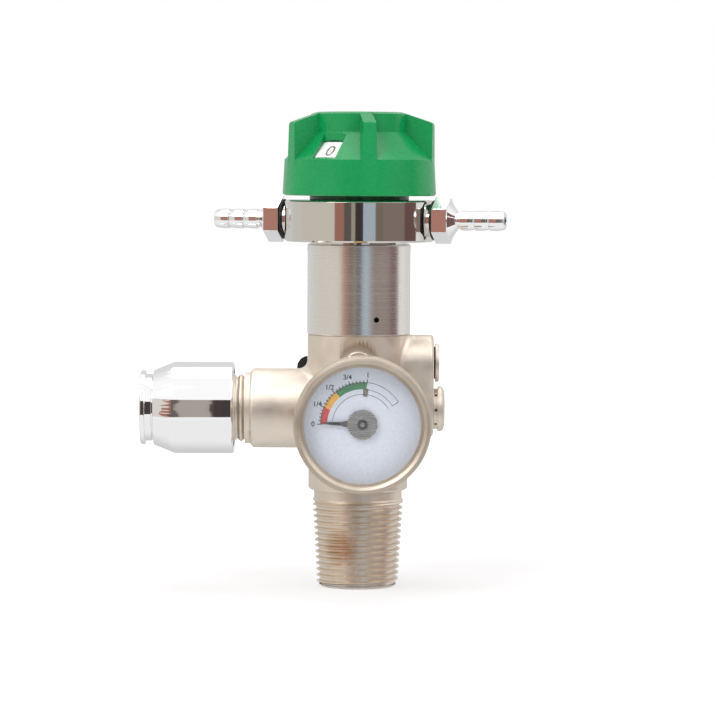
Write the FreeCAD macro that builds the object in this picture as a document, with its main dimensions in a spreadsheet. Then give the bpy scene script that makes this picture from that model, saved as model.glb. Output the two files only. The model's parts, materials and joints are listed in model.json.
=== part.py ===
import FreeCAD, Part
import math
import os
import re
import Sketcher

# Valve with built-in pressure regulator for a medical gas cylinder.
# Millimetres. +Z runs up the stem, the origin is the centre of the stem's bottom end,
# the quick outlet points along -X, the contents gauge along -Y, the fill port along +Y.

doc = FreeCAD.newDocument("medical_gas_regulator")
dims = doc.addObject("Spreadsheet::Sheet", "dims")

SIZES = [
    # forged body and tapered stem
    ("stem_tip_radius", 12.35, "stem thread crest at the bottom end"),
    ("stem_taper", 0.06, "growth of the stem's radius per millimetre of height"),
    ("thread_start", 1.2, "height of the first full thread crest"),
    ("thread_pitch", 1.814, "stem thread, 14 turns per inch"),
    ("thread_turns", 14, "turns on the stem"),
    ("thread_depth", 1.1, "stem thread, crest to root"),
    ("neck_radius", 13.5, "plain neck above the stem thread"),
    ("shoulder_height", 29.8, "underside of the body"),
    ("body_radius", 15.65, "forged upright cylinder"),
    ("lower_body_step", 0.45, "machined lower end of the body, inside the forging"),
    ("lower_body_radius", "=body_radius - lower_body_step", "machined lower end of the body"),
    ("lower_body_top", 38.0, "where the machined lower end meets the forging"),
    ("forging_allowance", 8.0, "metal faced off the top of the forging"),
    ("port_height", 54.5, "axis of the arm, relief port, fill port and gauge port"),
    ("arm_radius", 12.2, "outlet arm"),
    ("arm_reach", 33.0, "end of the arm's forged length"),
    ("arm_collar_radius", 10.9, "turned collar at the arm's end"),
    ("arm_collar_reach", 34.7, "end of the turned collar"),
    ("outlet_thread_radius", 10.5, "outlet thread crest"),
    ("outlet_thread_depth", 1.1, "outlet thread, crest to root"),
    ("outlet_thread_pitch", 2.3, "outlet thread"),
    ("outlet_thread_turns", 5, "turns on the outlet"),
    ("boss_radius", 8.9, "half width of the relief boss"),
    ("boss_reach", 23.0, "outer face of the relief boss"),
    ("port_spacing", 14.1, "upper plugged ports, above the lower ports"),
    ("upper_port_height", "=port_height + port_spacing", "axis of the upper plugged ports"),
    ("body_margin", 8.5, "machined top face, above the upper ports"),
    ("body_top", "=upper_port_height + body_margin", "machined top face"),
    ("blend", 2.6, "forging radius between body, arm and boss"),
    # passages and pockets in the body
    ("dip_radius", 5.5, "thread for a dip tube in the stem"),
    ("dip_depth", 10.0, "depth of the dip tube thread"),
    ("filter_radius", 4.0, "inlet filter"),
    ("filter_length", 8.0, "inlet filter"),
    ("high_bore_radius", 2.5, "high pressure passage up the stem"),
    ("nozzle_radius", 4.2, "thread of the seat nozzle"),
    ("nozzle_depth", 6.0, "length of the seat nozzle's thread"),
    ("chamber_depth", 13.1, "low pressure chamber, below the top face"),
    ("chamber_floor", "=body_top - chamber_depth", "floor of the low pressure chamber"),
    ("chamber_radius", 9.0, "low pressure chamber"),
    ("seat_depth", 6.6, "ledge that carries the stem guide, below the top face"),
    ("bonnet_seat", "=body_top - seat_depth", "ledge that carries the stem guide"),
    ("bonnet_thread_radius", 13.0, "thread between body and bonnet"),
    ("low_passage_radius", 1.5, "low pressure passage to the outlet"),
    ("low_passage_offset", 9.5, "low pressure passage, from the stem axis"),
    ("fit_gap", 0.03, "radial gap of screwed and pressed fits"),
    ("run_gap", 0.06, "radial gap of sliding and turning fits"),
    # stem guide, nozzle and piston
    ("guide_flange", 2.0, "thickness of the stem guide's flange"),
    ("guide_hub_radius", 6.5, "stem guide's hub, which centres the spring"),
    ("guide_hub_height", 2.6, "stem guide's hub above its flange"),
    ("shaft_groove", 1.5, "depth of the seal grooves round stem and spindle"),
    ("stem_groove_rise", 0.8, "stem seal's groove, above the ledge"),
    ("stem_groove_width", 1.8, "stem seal's groove"),
    ("nozzle_lip", 2.2, "height of the nozzle's lip over the chamber floor"),
    ("nozzle_flange", 1.8, "nozzle's flange, beyond its thread"),
    ("nozzle_cone", 0.8, "cone under the nozzle's lip"),
    ("piston_lift", 0.8, "travel of the piston from open to shut"),
    ("piston_stem_radius", 4.0, "hollow stem of the piston"),
    ("piston_bore_radius", 11.0, "cylinder in the bonnet"),
    ("piston_head", 7.4, "thickness of the piston's head"),
    ("piston_groove", 1.9, "depth of the piston seal's groove, from the cylinder"),
    ("piston_groove_width", 2.2, "piston seal's groove"),
    ("piston_groove_rise", 2.4, "piston seal's groove, above the piston's underside"),
    ("seal_slack", 0.1, "seals in their grooves"),
    ("seat_radius", 2.6, "soft seat in the piston's foot"),
    ("seat_thickness", 1.35, "soft seat in the piston's foot"),
    ("spring_radius", 8.0, "regulator spring, middle of the wire"),
    ("spring_wire", 0.9, "regulator spring, radius of the wire"),
    ("spring_turns", 5, "regulator spring"),
    # bonnet
    ("bonnet_step", 0.15, "bonnet, proud of the body"),
    ("bonnet_radius", "=body_radius + bonnet_step", "outside of the bonnet"),
    ("bonnet_length", 27.9, "bonnet, above the body"),
    ("bonnet_top", "=body_top + bonnet_length", "top face of the bonnet"),
    ("bonnet_deck", 8.0, "thickness of the bonnet's end"),
    ("edge_break", 0.5, "small chamfer on turned edges"),
    ("fine_edge", 0.3, "chamfer on small heads and rings"),
    ("vent_radius", 0.85, "breather hole in the bonnet"),
    ("vent_rise", 5.2, "breather hole in the bonnet, above the body"),
    ("vent_height", "=body_top + vent_rise", "breather hole in the bonnet"),
    ("vent_turn", 20.0, "breather hole, degrees to the right of the front"),
    ("spigot_radius", 10.0, "thread between bonnet and collar"),
    ("spigot_height", 3.5, "thread between bonnet and collar"),
    # flow selector
    ("collar_radius", 22.8, "outlet collar"),
    ("collar_gap", 0.7, "shadow gap under the collar"),
    ("collar_height", 12.6, "outlet collar"),
    ("collar_register_radius", 14.8, "foot of the collar on the bonnet"),
    ("barb_line", 6.6, "axis of the hose barbs over the collar's underside"),
    ("selector_chamber_radius", 9.5, "chamber round the orifice plate"),
    ("selector_web", 3.0, "roof over the orifice plate"),
    ("spindle_radius", 3.0, "selector spindle"),
    ("spindle_shoulder_radius", 5.5, "shoulder that holds the spindle down"),
    ("spindle_groove_drop", 0.6, "spindle seal's groove, under the collar's top"),
    ("spindle_groove_width", 1.6, "spindle seal's groove"),
    ("spindle_pin_radius", 2.0, "pin that carries the orifice plate"),
    ("plate_radius", 9.2, "orifice plate"),
    ("plate_thickness", 2.0, "orifice plate"),
    ("pad_thickness", 0.5, "sealing pad under the orifice plate"),
    ("orifice_ring_radius", 6.2, "circle of the calibrated holes"),
    ("orifice_radius", 0.45, "calibrated hole"),
    ("positions", 12, "settings of the flow knob, the first one shut"),
    ("detent_plate_radius", 12.6, "detent plate"),
    ("detent_plate_thickness", 1.6, "detent plate"),
    ("detent_gap", 0.6, "detent plate over the collar"),
    ("detent_circle_radius", 11.3, "circle of the detent dimples"),
    ("ball_radius", 1.2, "detent ball"),
    ("ball_hole_radius", 1.3, "detent ball's hole"),
    ("ball_hole_depth", 5.6, "detent ball's hole"),
    # dial and knob
    ("dial_base_radius", 15.2, "carrier of the flow dial"),
    ("dial_base_bore", 13.1, "carrier of the flow dial"),
    ("dial_base_height", 14.7, "carrier of the flow dial"),
    ("knob_gap", 1.4, "gap between knob and collar"),
    ("knob_foot_radius", 23.45, "knob at its lower rim"),
    ("knob_rim_radius", 22.9, "knob at the top of its skirt"),
    ("knob_bore", 21.3, "inside of the knob's skirt"),
    ("skirt_height", 10.9, "knob's skirt"),
    ("hub_radius", 14.8, "raised centre of the knob"),
    ("hub_wall", 2.0, "wall of the raised centre"),
    ("floor_rise", 8.4, "rise of the sloping floor from skirt to hub"),
    ("floor_thickness", 3.0, "sloping floor, measured upright"),
    ("knob_height", 25.4, "knob, rim to top"),
    ("top_flat_radius", 13.0, "flat top of the knob"),
    ("grip_drop", 3.2, "fall of the grip ribs from centre to corner"),
    ("grip_reach", 22.85, "outer end of the grip ribs"),
    ("grip_count", 5, "grip ribs"),
    ("grip_width", 5.2, "grip rib at its outer end"),
    ("grip_root_width", 3.4, "grip rib at the hub"),
    ("grip_turn", 7.0, "nearest grip rib, degrees to the right of the front"),
    ("window_turn", -29.0, "window, degrees to the right of the front"),
    ("window_width", 7.7, "window"),
    ("window_gap", 0.2, "window, from the hub's wall"),
    ("window_inner", "=hub_radius + window_gap", "window, nearest to the hub"),
    ("window_outer", 22.3, "window, furthest from the hub"),
    ("window_lip", 2.0, "depth of the window in the skirt's rim"),
    ("dial_gap", 0.8, "flow dial under the knob's floor"),
    ("dial_thickness", 1.3, "flow dial, measured upright"),
    ("dial_reach", 20.6, "outer edge of the flow dial"),
    ("knob_boss_radius", 6.5, "knob's inner boss"),
    ("knob_deck", 1.8, "wall under the cap in the knob's top"),
    ("cap_radius", 9.0, "cap in the knob's top"),
    ("cap_thickness", 1.2, "cap in the knob's top"),
    ("screw_head_radius", 4.2, "knob screw"),
    ("screw_head_height", 2.6, "knob screw"),
    ("screw_head_gap", 0.3, "room round the knob screw's head"),
    ("screw_drop", 4.0, "knob screw's head under the cap"),
    ("screw_radius", 1.5, "knob screw"),
    ("screw_length", 9.5, "knob screw under its head"),
    # hose barbs
    ("barb_turn", -15.7, "right barb, degrees from +X"),
    ("barb_seat", 22.0, "flat on the collar under each barb"),
    ("barb_thread_radius", 3.5, "barb's thread in the collar"),
    ("barb_thread_length", 8.0, "barb's thread in the collar"),
    ("barb_boss", 1.4, "round boss on the flat under each barb"),
    ("barb_boss_radius", 5.0, "round boss on the flat under each barb"),
    ("barb_seal_thickness", 0.8, "seal under each barb"),
    ("barb_seal_radius", 6.1, "seal under each barb"),
    ("barb_hex", 12.3, "barb's hexagon across flats"),
    ("barb_hex_length", 4.7, "barb's hexagon"),
    ("barb_cone", 2.4, "cone between hexagon and barb"),
    ("barb_root_radius", 2.5, "barb between its ridges"),
    ("barb_crest_radius", 3.0, "barb over its ridges"),
    ("barb_pitch", 4.55, "ridge spacing"),
    ("barb_ridges", 3, "ridges on each barb"),
    ("barb_bore", 1.25, "bore of each barb"),
    # plugs
    ("side_plug_radius", 4.0, "side plug's thread"),
    ("plug_seal_thickness", 0.5, "seal under the side plug"),
    ("plug_seal_radius", 5.05, "seal under the side plug"),
    ("side_plug_head_height", 1.2, "side plug's head"),
    ("side_plug_length", 7.8, "side plug's thread"),
    ("side_plug_socket", 5.0, "hexagon socket across flats"),
    ("relief_radius", 4.5, "relief plug's thread"),
    ("relief_depth", 11.0, "relief port"),
    ("relief_collar_radius", 6.2, "relief plug's drilled collar"),
    ("relief_collar_height", 1.3, "relief plug's drilled collar"),
    ("relief_head_radius", 6.95, "relief plug's domed head"),
    ("plug_gap", 1.3, "gap between the two heads on the boss"),
    ("side_plug_head", "=port_spacing - relief_head_radius - plug_gap", "side plug's head"),
    ("relief_head_height", 2.1, "relief plug's domed head"),
    ("relief_vent_radius", 0.45, "holes in the relief plug's collar"),
    ("relief_vents", 8, "holes in the relief plug's collar"),
    ("burst_disc_thickness", 0.4, "rupture disc"),
    ("front_recess_radius", 6.0, "spot face round the front plug"),
    ("front_recess_depth", 14.2, "spot face round the front plug, from the stem axis"),
    ("front_plug_head", 4.2, "front plug's head"),
    ("front_plug_height", 1.1, "front plug's head"),
    ("front_plug_radius", 1.8, "front plug's thread"),
    ("front_plug_length", 3.0, "front plug's thread"),
    # fill port and its cap
    ("fill_seat", 13.0, "spot face of the fill port, from the stem axis"),
    ("fill_seat_radius", 10.0, "spot face of the fill port"),
    ("fill_thread_radius", 7.0, "fill connector's thread in the body"),
    ("fill_thread_length", 6.0, "fill connector's thread in the body"),
    ("fill_flange_radius", 9.5, "fill connector's flange"),
    ("fill_flange", 3.0, "fill connector's flange"),
    ("fill_nose_radius", 7.9, "fill connector's outer thread"),
    ("fill_length", 17.0, "fill connector outside the body"),
    ("fill_chamber_radius", 3.6, "check valve's chamber"),
    ("fill_land_radius", 1.9, "check valve's seat"),
    ("fill_land", 1.8, "check valve's seat"),
    ("fill_mouth_radius", 3.5, "fill connector's mouth"),
    ("fill_mouth_depth", 8.0, "fill connector's mouth"),
    ("check_length", 4.0, "check valve behind its seat"),
    ("check_nose", 1.0, "check valve's nose beyond its seat"),
    ("fill_spring_wire", 0.4, "check valve's spring, radius of the wire"),
    ("cap_wall", 2.3, "dust cap"),
    ("cap_gap", 0.3, "dust cap round the connector"),
    ("cap_end", 2.2, "dust cap's end wall"),
    ("tab_reach", 22.6, "tip of the dust cap's pull tab"),
    ("tab_width", 7.0, "pull tab"),
    ("tab_round", 2.6, "rounded tip of the pull tab"),
    ("tab_turn", 34.0, "pull tab, degrees above the arm"),
    # quick outlet
    ("outlet_bore", 5.5, "socket for the outlet probe"),
    ("outlet_lead", 0.8, "countersink of the probe's socket"),
    ("outlet_end", 66.6, "front face of the outlet, from the stem axis"),
    ("spigot_end", 46.0, "end of the arm's thread, from the stem axis"),
    ("spring_pocket", 38.0, "bottom of the outlet valve's pocket, from the stem axis"),
    ("socket_start", 39.6, "rear edge of the coupling body, from the stem axis"),
    ("socket_skirt_radius", 12.1, "coupling body over the arm's thread"),
    ("socket_radius", 9.0, "coupling body inside the sleeve"),
    ("socket_web", 1.4, "coupling body's step, beyond the arm's thread"),
    ("land_start", 50.0, "outlet valve's seat, from the stem axis"),
    ("land_length", 2.0, "outlet valve's seat"),
    ("land_radius", 3.4, "hole in the outlet valve's seat"),
    ("poppet_length", 4.5, "outlet valve behind its seat"),
    ("poppet_nose", 1.2, "outlet valve's nose beyond its seat"),
    ("poppet_nose_cone", 0.6, "cone on the outlet valve's nose"),
    ("outlet_spring_wire", 0.45, "outlet valve's spring, radius of the wire"),
    ("sleeve_spring_wire", 0.5, "sleeve's spring, radius of the wire"),
    ("probe_seal_offset", 1.6, "probe seal, from the seat"),
    ("probe_seal_section", 0.75, "probe seal, radius of its section"),
    ("lock_ball_offset", 8.6, "locking balls, from the front face"),
    ("lock_ball_radius", 1.7, "locking ball"),
    ("lock_balls", 6, "locking balls"),
    ("sleeve_radius", 14.1, "release sleeve"),
    ("sleeve_start", 38.0, "rear edge of the sleeve, from the stem axis"),
    ("sleeve_cylinder_end", 56.2, "end of the sleeve's cylinder, from the stem axis"),
    ("sleeve_end", 62.6, "front edge of the sleeve, from the stem axis"),
    ("sleeve_nose_radius", 11.5, "front edge of the sleeve"),
    ("sleeve_pocket_radius", 12.4, "sleeve round its spring"),
    ("sleeve_pocket_end", 53.0, "shoulder inside the sleeve, from the stem axis"),
    ("ball_land", 0.4, "sleeve's land beyond the middle of the locking balls"),
    ("ball_relief", 0.9, "room for the locking balls, once released"),
    ("sleeve_travel", 1.5, "travel of the sleeve"),
    ("sleeve_gap", 0.4, "gap between sleeve and nose ring"),
    ("nose_groove_radius", 10.3, "nose ring behind its flange"),
    ("nose_flange_radius", 11.4, "nose ring's flange"),
    ("nose_flange", 1.5, "nose ring's flange"),
    ("nose_thread_radius", 7.6, "nose ring's thread"),
    # contents gauge
    ("gauge_seat", 14.0, "spot face of the gauge, from the stem axis"),
    ("gauge_seat_radius", 8.0, "spot face of the gauge"),
    ("gauge_thread_radius", 4.5, "gauge socket's thread"),
    ("gauge_thread_length", 5.0, "gauge socket's thread"),
    ("gauge_drop", 2.5, "axis of the gauge, below the ports"),
    ("gauge_height", "=port_height - gauge_drop", "axis of the gauge"),
    ("gauge_across", 1.3, "axis of the gauge, to the right of the stem's"),
    ("gauge_hex", 13.0, "gauge socket's hexagon across flats"),
    ("gauge_back", 22.0, "back of the gauge case, from the stem axis"),
    ("gauge_seal_thickness", 1.0, "seal under the gauge socket"),
    ("gauge_case_radius", 19.6, "gauge case"),
    ("gauge_case_depth", 13.6, "gauge case"),
    ("gauge_wall", 0.9, "wall of the gauge case"),
    ("bezel_wall", 0.9, "bezel ring round the case"),
    ("bezel_radius", "=gauge_case_radius + bezel_wall", "bezel ring"),
    ("bezel_depth", 8.2, "bezel ring"),
    ("bezel_face", 2.8, "width of the bezel's front face"),
    ("bezel_lip_radius", "=bezel_radius - bezel_face", "opening of the bezel"),
    ("bezel_lip", 1.2, "bezel's front lip"),
    ("bezel_bevel", 0.9, "bevel round the bezel's front face"),
    ("lens_thickness", 1.6, "gauge lens"),
    ("dial_plate_depth", 9.6, "gauge dial, from the back of the case"),
    ("dial_plate_thickness", 0.5, "gauge dial"),
    ("pointer_rest", 178.0, "pointer at rest, degrees anticlockwise from the right"),
    ("pointer_reach", 12.2, "tip of the pointer"),
    ("pointer_hub_radius", 3.4, "pointer's disc"),
    ("pointer_root", 2.6, "width of the pointer where it leaves its disc"),
    ("pointer_tail", 1.6, "pointer's tail beyond its disc"),
    ("pointer_tip", 0.3, "width of the pointer's tip"),
    ("pointer_thickness", 0.4, "pointer"),
    ("pointer_gap", 0.7, "pointer over the dial"),
    ("arbor_radius", 0.6, "pointer's arbor"),
    ("arbor_room", 0.4, "room round the arbor in the dial"),
    ("gauge_stub", 4.0, "gauge socket inside the case"),
    ("plate_wall", 0.6, "bearing plate of the arbor"),
    ("tube_radius", 5.4, "pressure tube, middle of its coil"),
    ("tube_wire", 0.4, "pressure tube, radius of its section"),
    ("tube_turns", 3, "pressure tube"),
]
for row, (alias, size, meaning) in enumerate(SIZES, start=1):
    dims.set(f"A{row}", alias.replace("_", " "))
    dims.set(f"B{row}", str(size))
    dims.setAlias(f"B{row}", alias)
    dims.set(f"C{row}", meaning)
dims.recompute()
ALIASES = {alias for alias, size, meaning in SIZES}


def bound(text):
    """The same expression, naming each size in the sheet."""
    return re.sub(r"[a-z_]\w*", lambda word: ("dims." if word[0] in ALIASES else "") + word[0], text)


def value(text):
    """The present value of an expression of sizes."""
    return float(dims.evalExpression(bound(text)))


def origin_plane(body, role):
    """One of the body's own origin planes."""
    return [item for item in body.Origin.OriginFeatures if item.Role == role][0]


def new_sketch(body, role, lift="0"):
    """An empty sketch on an origin plane of the body, or lifted off it."""
    sketch = body.newObject("Sketcher::SketchObject", body.Label + "_sketch")
    sketch.AttachmentSupport = (origin_plane(body, role), [""])
    sketch.MapMode = "FlatFace"
    if lift != "0":
        sketch.AttachmentOffset = FreeCAD.Placement(FreeCAD.Vector(0, 0, value(lift)), FreeCAD.Rotation())
        sketch.setExpression("AttachmentOffset.Base.z", bound(lift))
    return sketch


def hold(sketch, direction, item, point, text):
    """Tie one coordinate of a sketch point to an expression of sizes."""
    axis = {"DistanceX": -2, "DistanceY": -1}[direction]
    amount = value(text)
    if abs(amount) < 1e-9:
        sketch.addConstraint(Sketcher.Constraint("PointOnObject", item, point, axis))
    elif amount > 0:
        row = sketch.addConstraint(Sketcher.Constraint(direction, -1, 1, item, point, amount))
        sketch.setExpression(f"Constraints[{row}]", bound(text))
    else:
        row = sketch.addConstraint(Sketcher.Constraint(direction, item, point, -1, 1, -amount))
        sketch.setExpression(f"Constraints[{row}]", "-(" + bound(text) + ")")


def draw_corners(sketch, corners):
    """A closed outline of straight edges; each corner is a pair of expressions."""
    spots = [FreeCAD.Vector(value(across), value(along), 0) for across, along in corners]
    first = sketch.GeometryCount
    for start, end in zip(spots, spots[1:] + spots[:1]):
        sketch.addGeometry(Part.LineSegment(start, end), False)
    for index, (across, along) in enumerate(corners):
        following = first + (index + 1) % len(corners)
        sketch.addConstraint(Sketcher.Constraint("Coincident", first + index, 2, following, 1))
        hold(sketch, "DistanceX", first + index, 1, across)
        hold(sketch, "DistanceY", first + index, 1, along)


def draw_circle(sketch, across, along, radius):
    """A circle whose centre and radius are expressions."""
    centre = FreeCAD.Vector(value(across), value(along), 0)
    item = sketch.addGeometry(Part.Circle(centre, FreeCAD.Vector(0, 0, 1), value(radius)), False)
    hold(sketch, "DistanceX", item, 3, across)
    hold(sketch, "DistanceY", item, 3, along)
    row = sketch.addConstraint(Sketcher.Constraint("Radius", item, value(radius)))
    sketch.setExpression(f"Constraints[{row}]", bound(radius))


def hexagon(flats, turn=0):
    """Corners of a hexagon given across its flats."""
    reach = f"({flats}) / 2 / cos(30)"
    return [(f"{reach} * cos({60 * side + turn})", f"{reach} * sin({60 * side + turn})") for side in range(6)]


FLAT_ON_TOP = 30


def new_body(label):
    """An empty body under its own name."""
    body = doc.addObject("PartDesign::Body", label)
    body.Label = label
    return body


def turn(body, corners, sweep=360):
    """Revolve an outline of (radius, height) corners about the body's own axis."""
    sketch = new_sketch(body, "XZ_Plane")
    draw_corners(sketch, corners)
    feature = body.newObject("PartDesign::Revolution", body.Label + "_turned")
    feature.Profile = sketch
    feature.ReferenceAxis = (sketch, ["V_Axis"])
    feature.Angle = sweep
    return feature


def turned(label, corners):
    """A piece made on a lathe."""
    body = new_body(label)
    turn(body, corners)
    return body


def pad(body, sketch, length):
    """Add the sketch's shape to the body, over a length."""
    feature = body.newObject("PartDesign::Pad", body.Label + "_pad")
    feature.Profile = sketch
    feature.Length = value(length)
    feature.setExpression("Length", bound(length))
    return feature


def pocket(body, sketch, length, reverse=False, both_ways=False):
    """Cut the sketch's shape out of the body, over a length."""
    before = doc.recompute() and body.Shape.Volume
    feature = body.newObject("PartDesign::Pocket", body.Label + "_pocket")
    feature.Profile = sketch
    feature.Length = value(length)
    feature.setExpression("Length", bound(length))
    feature.Reversed = reverse
    feature.Midplane = both_ways
    doc.recompute()
    if not body.Shape.Volume < before:
        raise RuntimeError(f"{feature.Label} cuts nothing")
    return feature


def ring_of(body, feature, count):
    """Repeat a feature evenly round the body's own axis."""
    pattern = body.newObject("PartDesign::PolarPattern", body.Label + "_ring")
    pattern.Originals = [feature]
    pattern.Axis = ([item for item in body.Origin.OriginFeatures if item.Role == "Z_Axis"][0], [""])
    pattern.Angle = 360
    pattern.Occurrences = int(value(count))
    pattern.setExpression("Occurrences", bound(count))
    body.Tip = pattern
    return pattern


X_AXIS = FreeCAD.Vector(1, 0, 0)
Y_AXIS = FreeCAD.Vector(0, 1, 0)
Z_AXIS = FreeCAD.Vector(0, 0, 1)
UPRIGHT = FreeCAD.Rotation()
TO_LEFT = FreeCAD.Rotation(Y_AXIS, -90)
TO_RIGHT = FreeCAD.Rotation(Y_AXIS, 90)
TO_FRONT = FreeCAD.Rotation(X_AXIS, 90)
TO_BACK = FreeCAD.Rotation(X_AXIS, -90)


def place(item, facing, height="0", across="0", depth="0"):
    """Turn a piece to face one way and put its own origin at a spot on the valve."""
    item.Placement = FreeCAD.Placement(FreeCAD.Vector(value(across), value(depth), value(height)), facing)
    for direction, text in (("x", across), ("y", depth), ("z", height)):
        if text != "0":
            item.setExpression("Placement.Base." + direction, bound(text))
    return item


def rod(label, radius, start, length, facing=UPRIGHT, height="0", across="0", depth="0"):
    """A cylinder that starts some way along the direction it faces, from a spot on the valve."""
    item = doc.addObject("Part::Cylinder", label)
    item.setExpression("Radius", bound(radius))
    item.setExpression("Height", bound(length))
    ahead = facing.multVec(Z_AXIS)
    spot = []
    for text, share in ((across, ahead.x), (depth, ahead.y), (height, ahead.z)):
        spot.append(f"({text}) + ({share:.9f}) * ({start})")
    item.Placement = FreeCAD.Placement(FreeCAD.Vector(*[value(text) for text in spot]), facing)
    for direction, text in zip("xyz", spot):
        item.setExpression("Placement.Base." + direction, bound(text))
    return item


def joined(label, pieces):
    """One solid out of several that meet."""
    item = doc.addObject("Part::MultiFuse", label)
    item.Shapes = pieces
    item.Refine = True
    return item


def cut_from(label, base, tools):
    """A solid with the tools taken away."""
    item = doc.addObject("Part::Cut", label)
    item.Base = base
    item.Tool = joined(label + "_tools", tools) if len(tools) > 1 else tools[0]
    item.Refine = True
    doc.recompute()
    if not item.Shape.Volume < base.Shape.Volume:
        raise RuntimeError(f"{label} lost nothing")
    return item


def coil(label, radius, wire, start, length, turns, facing=UPRIGHT, height="0", across="0", depth="0"):
    """A helical spring that starts some way along the direction it faces."""
    steps = 12
    sides = 6
    middle = value(radius)
    thick = value(wire)
    rise = value(length) - 2 * thick
    count = int(turns) * steps
    sections = []
    for step in range(count + 1):
        angle = 2 * math.pi * step / steps
        outward = FreeCAD.Vector(math.cos(angle), math.sin(angle), 0)
        centre = outward * middle + Z_AXIS * (value(start) + thick + rise * step / count)
        corners = []
        for side in range(sides + 1):
            round_wire = 2 * math.pi * (side + 0.5) / sides
            across_wire = outward * (thick * math.cos(round_wire))
            along_wire = Z_AXIS * (thick * math.sin(round_wire))
            corners.append(centre + across_wire + along_wire)
        sections.append(Part.makePolygon(corners))
    item = doc.addObject("Part::Feature", label)
    item.Shape = Part.makeLoft(sections, True, True)
    return place(item, facing, height, across, depth)


def meeting_edges(shape, one_side, other_side):
    """Numbers of the edges where a face of one kind meets a face of another kind."""
    found = []
    for number, edge in enumerate(shape.Edges, start=1):
        sides = shape.ancestorsOfType(edge, Part.Face)
        if len(sides) == 2:
            one, other = sides
            if (one_side(one) and other_side(other)) or (one_side(other) and other_side(one)):
                found.append(number)
    return found


# Valve body: one nickel-plated brass forging, machined all over its ports.

thread_corners = [("0", "0"), ("stem_tip_radius - thread_start", "0")]
for crest in range(int(value("thread_turns")) + 1):
    crest_height = f"thread_start + {crest} * thread_pitch"
    thread_corners.append((f"stem_tip_radius + stem_taper * ({crest_height})", crest_height))
    if crest < int(value("thread_turns")):
        root_height = f"thread_start + {crest + 0.5} * thread_pitch"
        thread_corners.append((f"stem_tip_radius + stem_taper * ({root_height}) - thread_depth", root_height))
thread_top = "(thread_start + thread_turns * thread_pitch)"
upright = turned("body_upright", thread_corners + [
    ("neck_radius", f"{thread_top} + edge_break"),
    ("neck_radius", "shoulder_height"),
    ("lower_body_radius - edge_break", "shoulder_height"),
    ("lower_body_radius", "shoulder_height + edge_break"),
    ("lower_body_radius", "lower_body_top"),
    ("body_radius", "lower_body_top + 2 * edge_break"),
    ("body_radius", "body_top + forging_allowance"),
    ("0", "body_top + forging_allowance"),
])

arm_corners = [
    ("0", "0"),
    ("arm_radius", "0"),
    ("arm_radius", "arm_reach - 2 * edge_break"),
    ("arm_radius - 2 * edge_break", "arm_reach"),
    ("arm_collar_radius", "arm_reach"),
    ("arm_collar_radius", "arm_collar_reach"),
    ("outlet_thread_radius - outlet_thread_depth", "arm_collar_reach"),
]
for crest in range(int(value("outlet_thread_turns"))):
    arm_corners.append(("outlet_thread_radius", f"arm_collar_reach + {crest + 0.5} * outlet_thread_pitch"))
    arm_corners.append((
        "outlet_thread_radius - outlet_thread_depth",
        f"min(arm_collar_reach + {crest + 1} * outlet_thread_pitch; spigot_end - edge_break / 5)",
    ))
arm_corners += [("outlet_thread_radius - outlet_thread_depth", "spigot_end"), ("0", "spigot_end")]
arm = place(turned("body_arm", arm_corners), TO_LEFT, "port_height")

# The relief boss is as wide as one port and tall enough for two.
boss = new_body("body_boss")
boss_sketch = new_sketch(boss, "XY_Plane")
draw_corners(boss_sketch, [
    ("0", "-boss_radius"),
    ("upper_port_height - port_height", "-boss_radius"),
    ("upper_port_height - port_height", "boss_radius"),
    ("0", "boss_radius"),
])
pad(boss, boss_sketch, "boss_reach")
place(boss, FreeCAD.Rotation(Y_AXIS, 90) * FreeCAD.Rotation(Z_AXIS, 180), "port_height")
boss_ends = [
    rod("boss_lower_end", "boss_radius", "0", "boss_reach", TO_RIGHT, "port_height"),
    rod("boss_upper_end", "boss_radius", "0", "boss_reach", TO_RIGHT, "upper_port_height"),
]
forging = joined("body_forging", [upright, arm, boss] + boss_ends)
doc.recompute()


def is_upright_wall(face):
    """Whether a face is part of the forging's own upright cylinder."""
    surface = face.Surface
    if not isinstance(surface, Part.Cylinder):
        return False
    return abs(surface.Axis.z) > 0.99 and abs(surface.Radius - value("body_radius")) < 0.01


def runs_sideways(face):
    """Whether a face belongs to the arm or the boss."""
    surface = face.Surface
    if isinstance(surface, Part.Cylinder):
        return abs(surface.Axis.x) > 0.99
    return isinstance(surface, Part.Plane) and abs(surface.Axis.y) > 0.99


blends = doc.addObject("Part::Fillet", "body_blends")
blends.Base = forging
blends.Edges = [
    (number, value("blend"), value("blend"))
    for number in meeting_edges(forging.Shape, is_upright_wall, runs_sideways)
]

# Rounded rim of the boss's outer face.
doc.recompute()


def is_boss_face(face):
    """Whether a face is the boss's flat outer end."""
    surface = face.Surface
    return isinstance(surface, Part.Plane) and face.CenterOfMass.x > value("boss_reach") - 0.01


boss_rim = doc.addObject("Part::Fillet", "body_boss_rim")
boss_rim.Base = blends
boss_rim.Edges = [
    (number, value("3 * edge_break"), value("3 * edge_break"))
    for number in meeting_edges(blends.Shape, is_boss_face, runs_sideways)
]

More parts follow.
